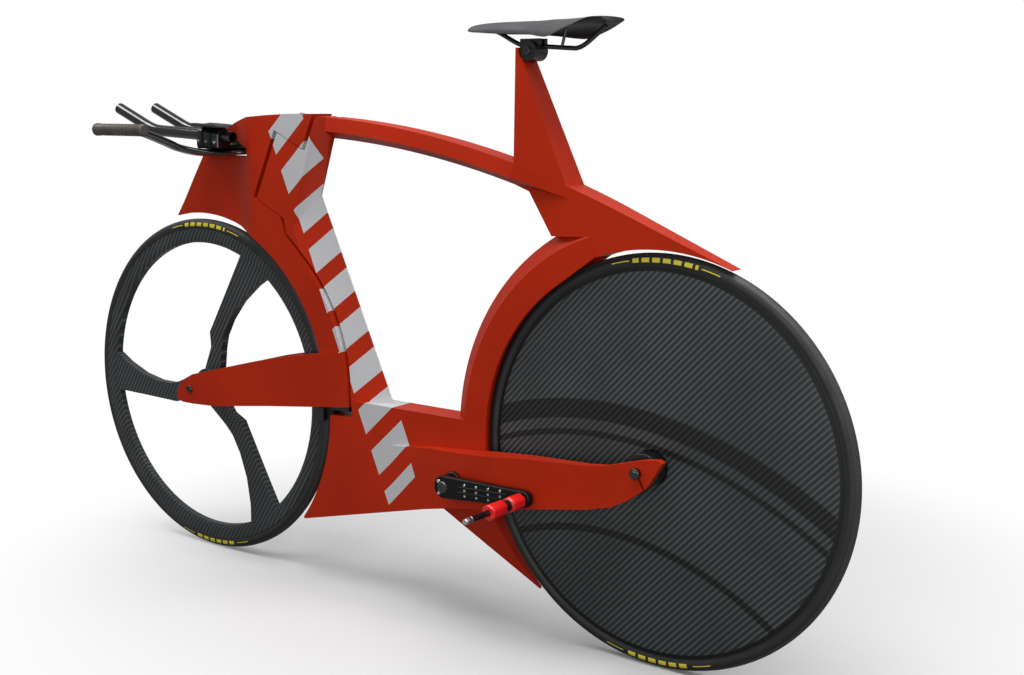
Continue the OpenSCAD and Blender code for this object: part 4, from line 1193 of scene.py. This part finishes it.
class BIKE_OT_seat(bpy.types.Operator):
    """Builds the saddle, its rail and its clamp"""
    bl_idname = "bike.seat"
    bl_label = "Saddle"

    def execute(self, context):
        upper = smooth_path([Vector(s[:3]) for s in SADDLE], 3)
        lower = smooth_path([Vector(s[3:]) for s in SADDLE], 3)
        rings = []
        for (x, half, top), (edge, belly) in zip(upper, lower):
            rings.append([
                Vector((x, half * c, edge + ((top if s > 0 else belly) - edge) * abs(s)))
                for c, s in round_steps(SADDLE_SIDES)
            ])
        saddle = mesh_object("saddle_cover", *skin(rings))
        # Downward faces are marked to stay black, as the shaded side of the painted light.
        under = saddle.data.attributes.new("under", "FLOAT", "FACE")
        for face in saddle.data.polygons:
            under.data[face.index].value = float(face.normal.z < PAINTED_LIGHT_TILT)
        fitted(shaded(saddle, 60), saddle_material(), "frame", "saddle_cover", "saddle")

        tubes = []
        for radius, route in RAILS:
            path = smooth_path([Vector((x, 0, z)) for x, z in route], 6)
            tubes.append(skin(tube(path, radius, 16, LEFTWARD)))
        rail = shaded(mesh_object("saddle_rail_tube", *gathered(tubes)), 40)
        fitted(rail, plain("gloss_black"), "frame", "steel", "saddle_rail")
        rounded_node("seat_clamp_shape", "seat_clamp", 0.0035, plain("satin_alloy"), "frame", "black_alloy")
        return {"FINISHED"}


# Base bar from the middle to the left: distance, rise and depth. Then its leading edge and half thickness.
BAR = (
    (0.0, 0.0, 0.122), (0.030, 0.0, 0.122), (0.062, 0.0, 0.082), (0.097, 0.009, 0.044),
    (0.125, 0.0195, 0.044), (0.154, 0.030, 0.044), (0.194, 0.044, 0.044),
)
BAR_FRONT = Vector((0.827, 0, -0.2248))
BAR_THICK = 0.0070
# Grips: place along and radius of each ring, their middle line, and the first and last rib
GRIP = (
    (0.776, 0.0004), (0.776, 0.0095), (0.7775, 0.0112), (0.782, 0.0118), (0.784, 0.0109), (0.905, 0.0109),
    (0.907, 0.0118), (0.9135, 0.0118), (0.916, 0.0100), (0.916, 0.0004),
)
GRIP_Y, GRIP_Z = 0.200, -0.1808
GRIP_RIBS = (0.789, 0.900)
# Extensions: distance from the middle, back end, slopes of both straight runs, lengths, bend and radii
EXT_Y = 0.045
EXT_BACK = Vector((0.713, 0, -0.196))
EXT_SLOPE, EXT_RISE = math.radians(2.8), math.radians(22)
EXT_RUN, EXT_TIP, EXT_BEND_R = 0.206, 0.092, 0.120
EXT_R, EXT_BORE = 0.011, 0.009
# Collars of the bar clamps: distance along the extension and radius over the collar
COLLARS = (
    (0.024, 0.0155), (0.0255, 0.0169), (0.040, 0.0169), (0.0415, 0.0140), (0.047, 0.0140), (0.0485, 0.0169),
    (0.063, 0.0169), (0.0645, 0.0140), (0.069, 0.0140), (0.0705, 0.0169), (0.0825, 0.0169), (0.084, 0.0155),
)
CLAMP_BORE = 0.0111
CLAMP_FOOT = -0.2176
CLAMP_SIDES = 32
BRIDGE_DEPTH = 0.016
# Brake shoes beside the front tyre: side view from the front axle, and from the middle of the bike outward
SHOE = (
    (-0.341, -0.022), (-0.337, -0.026), (-0.320, -0.026), (-0.315, -0.020), (-0.315, 0.002), (-0.341, 0.002),
)
SHOE_Y = (0.0176, 0.0295)
# Arm pads: rows, columns, share of the solid's length, and gap under them
PAD_ROWS, PAD_COLS, PAD_SHARE, PAD_GAP = 18, 14, 0.995, 0.0002
# Heights of a pad's middle, its raised sides, its rounded rim, its underside and the underside's rim
PAD_TOP, PAD_CUP, PAD_ROUND, PAD_UNDER, PAD_LIFT = 0.0055, 0.0032, 0.0035, 0.0004, 0.0012


def bar_rings():
    """Aerofoil rings of the base bar from its right end to its left end."""
    half = [Vector((depth, y, z)) for y, z, depth in BAR]
    path = smooth_path([Vector((p.x, -p.y, p.z)) for p in reversed(half[1:])] + half, 5)
    rings = []
    for depth, y, z in path:
        ring = []
        for c, s in round_steps(28):
            thick = min(BAR_THICK * (1 + 0.28 * c), BAR_THICK)
            ring.append(BAR_FRONT + Vector((depth / 2 * (c - 1), y, z + thick * s)))
        rings.append(ring)
    return rings


def extension_path(y):
    """Middle line of one extension, from its back to its tip."""
    spot = EXT_BACK + y * LEFTWARD
    path = [spot + heading(EXT_SLOPE) * EXT_RUN * k / 6 for k in range(7)]
    spot = path[-1]
    bend = EXT_RISE - EXT_SLOPE
    for k in range(1, 9):
        spot = spot + heading(EXT_SLOPE + bend * (k - 0.5) / 8) * EXT_BEND_R * bend / 8
        path.append(spot)
    return path + [spot + heading(EXT_RISE) * EXT_TIP * k / 3 for k in (1, 2, 3)]


def clamp_shape():
    """Points and faces of the bar clamps: round over the extensions, flat below, and joined by a bridge."""
    shapes = []
    for _, side in SIDES:
        outer, inner = [], []
        for run, radius in COLLARS:
            centre = EXT_BACK + heading(EXT_SLOPE) * run + side * EXT_Y * LEFTWARD
            drop = centre.z - CLAMP_FOOT
            rings = [], []
            for c, s in round_steps(CLAMP_SIDES, 0.5):
                reach = radius if s > 0 else min(radius / abs(c), drop / abs(s))
                for ring, r in zip(rings, (reach, CLAMP_BORE)):
                    ring.append(centre + Vector((0, r * c, r * s)))
            outer.append(rings[0])
            inner.append(rings[1])
        shapes.append(skin(outer + inner[::-1], loop=True))
    half = EXT_Y - COLLARS[1][1] + 0.002
    bridge = []
    for run, _ in (COLLARS[0], COLLARS[-1]):
        p = EXT_BACK + heading(EXT_SLOPE) * run
        top = p.z - BRIDGE_DEPTH
        corners = ((-half, CLAMP_FOOT), (half, CLAMP_FOOT), (half, top), (-half, top))
        bridge.append([Vector((p.x, y, z)) for y, z in corners])
    return gathered(shapes + [skin(bridge)])


class BIKE_OT_bars(bpy.types.Operator):
    """Builds the base bar, grips, extensions, clamps, arm pads, brake and hinge pin"""
    bl_idname = "bike.bars"
    bl_label = "Handlebars"

    def execute(self, context):
        carbon, alloy = plain("bar_carbon"), plain("satin_alloy")
        bar = shaded(mesh_object("base_bar_wing", *skin(bar_rings())), 40)
        fitted(bar, carbon, "front_unit", "carbon", "base_bar")
        for name, side in SIDES:
            self.grip(name, side)
            path = extension_path(side * EXT_Y)
            outer, inner = (tube(path, r, 24, LEFTWARD) for r in (EXT_R, EXT_BORE))
            ext = shaded(mesh_object(f"extension_tube_{name}", *skin(outer + inner[::-1], loop=True)), 40)
            fitted(ext, carbon, "front_unit", "carbon", f"extension_{name}")
            self.pad(name)
        clamps = shaded(mesh_object("extension_clamps_shape", *clamp_shape()), 40)
        fitted(clamps, alloy, "front_unit", "black_alloy", "extension_clamps")
        rounded_node("front_brake_shape", "front_brake", 0.0010, alloy, "front_unit", "black_alloy")
        rounded_node("hinge_pin_shape", "hinge_pin", 0.0008, plain("dark_steel"), "front_unit", "steel")
        pair = []
        for _, side in SIDES:
            pair.append(skin([[FRONT_AXLE + Vector((x, side * y, z)) for x, z in SHOE] for y in SHOE_Y]))
        shoes = softened(mesh_object("brake_shoes", *gathered(pair)), 0.0012)
        fitted(shoes, alloy, "front_unit", "black_alloy")
        return {"FINISHED"}

    def grip(self, name, side):
        """One grip: a core with a collar at each end, and its ribs."""
        rubber = plain("ribbed_rubber")
        centre = Vector((0, side * GRIP_Y, GRIP_Z))
        rings = [[centre + Vector((x, r * c, r * s)) for c, s in round_steps(28)] for x, r in GRIP]
        core = shaded(mesh_object(f"grip_core_{name}", *skin(rings)), 35)
        fitted(core, rubber, "front_unit", "grip_rubber", f"grip_{name}")
        first, last = (centre + Vector((x, 0, 0)) for x in GRIP_RIBS)
        ribs = grown(f"grip_ribs_{name}", rib_tree, rubber, {
            "Count": sizes().grip_ribs, "From": first, "To": last, "Radius": 0.0108, "Rib": 0.0006,
        })
        fitted(shaded(ribs, 60), rubber, "front_unit", "grip_rubber")

    def pad(self, name):
        """One arm pad: a shallow cup whose sides rise."""
        low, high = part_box(f"arm_pad_{name}")
        middle, half = (low + high) / 2, (high - low) / 2
        across = PAD_COLS + 1
        top, bottom = [], []
        for i in range(PAD_ROWS + 1):
            for j in range(across):
                u, v = 2 * i / PAD_ROWS - 1, 2 * j / PAD_COLS - 1
                corner = (abs(u) ** 5 + abs(v) ** 5) ** 0.2
                grow = max(abs(u), abs(v)) / corner if corner else 1
                x = middle.x + half.x * u * grow * PAD_SHARE
                y = middle.y + half.y * v * grow
                rest = low.z + PAD_GAP + (x - low.x) * math.tan(EXT_SLOPE)
                rim = max(abs(u), abs(v)) ** 6
                top.append(Vector((x, y, rest + PAD_TOP + PAD_CUP * v * v - PAD_ROUND * rim)))
                bottom.append(Vector((x, y, rest + PAD_UNDER + PAD_LIFT * rim)))
        count = len(top)
        faces = []
        for i in range(PAD_ROWS):
            for j in range(PAD_COLS):
                a = i * across + j
                faces.append((a, a + 1, a + across + 1, a + across))
                faces.append(tuple(count + k for k in (a + across, a + across + 1, a + 1, a)))
        edge = list(range(PAD_COLS)) + [i * across + PAD_COLS for i in range(PAD_ROWS)]
        edge += [PAD_ROWS * across + j for j in range(PAD_COLS, 0, -1)]
        edge += [i * across for i in range(PAD_ROWS, 0, -1)]
        faces += [(a, b, count + b, count + a) for a, b in zip(edge, edge[1:] + edge[:1])]
        pad = mesh_object(f"arm_pad_foam_{name}", top + bottom, faces)
        fitted(shaded(pad, 60), plain("pad_foam"), "front_unit", "grip_rubber", f"arm_pad_{name}")


# Outer faces of the cranks from the bike's middle, and the places of their dots and ridges along and across
CRANK_FACE = 0.0899
DOTS_ALONG, DOTS_ACROSS = (0.048, 0.073, 0.098, 0.123), (-0.0092, 0.0, 0.0092)
RIDGE_ALONG, RIDGE_ACROSS = (0.034, 0.085, 0.137), (-0.0046, 0.0046)
RIDGE_R, RIDGE_LIFT = 0.0017, 0.0002
# Bolts beside the spindle: distance from it, and turns from the crank's line
CRANK_BOLT_R, CRANK_BOLT_TURNS = 0.013, (0.9, -0.9)
# Bolts on the sides of the bar clamps: place along and below the extension's back end
CLAMP_BOLTS = ((0.033, -0.009), (0.056, -0.008), (0.077, -0.007))
CLAMP_BOLT_Y = EXT_Y + 0.0168


def both_ends(centre, distance):
    """Places and directions at both ends of a line across the bike."""
    return [(centre + side * distance * LEFTWARD, side * LEFTWARD) for _, side in SIDES]


class BIKE_OT_fasteners(bpy.types.Operator):
    """Adds the bolts and the bright marks on the cranks"""
    bl_idname = "bike.fasteners"
    bl_label = "Bolts"

    def execute(self, context):
        bright, dark = plain("bright_steel"), plain("dark_steel")
        alloy, gloss = plain("satin_alloy"), plain("gloss_black")
        along = heading(CRANK_ANGLE)
        across = Vector((-along.z, 0, along.x))
        dots, heads, ridges, sides = [], [], [], []
        for _, side in SIDES:
            way = side * LEFTWARD
            face = BRACKET + way * CRANK_FACE
            dots += [(face + side * (x * along + z * across), way) for x in DOTS_ALONG for z in DOTS_ACROSS]
            for z in RIDGE_ACROSS:
                path = [face + side * (x * along + z * across) + way * RIDGE_LIFT for x in RIDGE_ALONG]
                ridges.append(skin(tube(path, RIDGE_R, 10, across)))
            for turn in CRANK_BOLT_TURNS:
                spot = CRANK_BOLT_R * (along * math.cos(turn) + across * math.sin(turn))
                heads.append((face - side * spot, way))
            for run, drop in CLAMP_BOLTS:
                sides.append((EXT_BACK + Vector((run, side * CLAMP_BOLT_Y, drop)), way))
        raised = shaded(mesh_object("crank_ridges", *gathered(ridges)), 40)
        fitted(raised, plain("crank_black"), "crank", "black_alloy")
        spindle, caps = both_ends(BRACKET, CRANK_FACE), both_ends(SEAT_CLAMP, 0.0169)
        front, rear = both_ends(FRONT_AXLE, 0.0589), both_ends(REAR_AXLE, 0.0799)
        for name, places, size, material, body in (
            ("crank_dots", dots, (0.0026, 0.0007, 0.0006), bright, "crank"),
            ("crank_bolts", heads, (0.0034, 0.0012, 0.0016), bright, "crank"),
            ("spindle_bolts", spindle, (0.0105, 0.0022, 0.0050), dark, "crank"),
            ("clamp_bolts", caps, (0.0072, 0.0030, 0.0034), dark, "frame"),
            ("front_axle_heads", front, (0.0076, 0.0014, 0.0046), alloy, "front_unit"),
            ("rear_axle_heads", rear, (0.0056, 0.0012, 0.0026), gloss, "frame"),
            ("bar_clamp_bolts", sides, (0.0030, 0.0016, 0.0014), bright, "front_unit"),
        ):
            bolts(name, places, size, material, body)
        return {"FINISHED"}


OPERATORS = (
    BIKE_OT_stage, BIKE_OT_shells, BIKE_OT_tyres, BIKE_OT_wheels, BIKE_OT_drive, BIKE_OT_pedals, BIKE_OT_seat,
    BIKE_OT_bars, BIKE_OT_fasteners,
)


class BIKE_PT_looks(bpy.types.Panel):
    """Lists the groups of pieces, and the sizes and colours they use"""
    bl_idname = "BIKE_PT_looks"
    bl_label = "Triathlon bike"
    bl_space_type = "VIEW_3D"
    bl_region_type = "UI"
    bl_category = "Bike"

    def draw(self, context):
        for group in (context.scene.bike_colours, context.scene.bike_sizes):
            for key in group.__annotations__:
                self.layout.prop(group, key)
        for operator in OPERATORS:
            self.layout.operator(operator.bl_idname)


CLASSES = (BikeColours, BikeSizes, *OPERATORS, BIKE_PT_looks)


def register():
    for cls in CLASSES:
        bpy.utils.register_class(cls)
    bpy.types.Scene.bike_colours = PointerProperty(type=BikeColours)
    bpy.types.Scene.bike_sizes = PointerProperty(type=BikeSizes)


def unregister():
    del bpy.types.Scene.bike_sizes
    del bpy.types.Scene.bike_colours
    for cls in reversed(CLASSES):
        bpy.utils.unregister_class(cls)


def main():
    """Builds everything."""
    register()
    for operator in OPERATORS:
        group, call = operator.bl_idname.split(".")
        getattr(getattr(bpy.ops, group), call)()


if __name__ == "__main__":
    main()
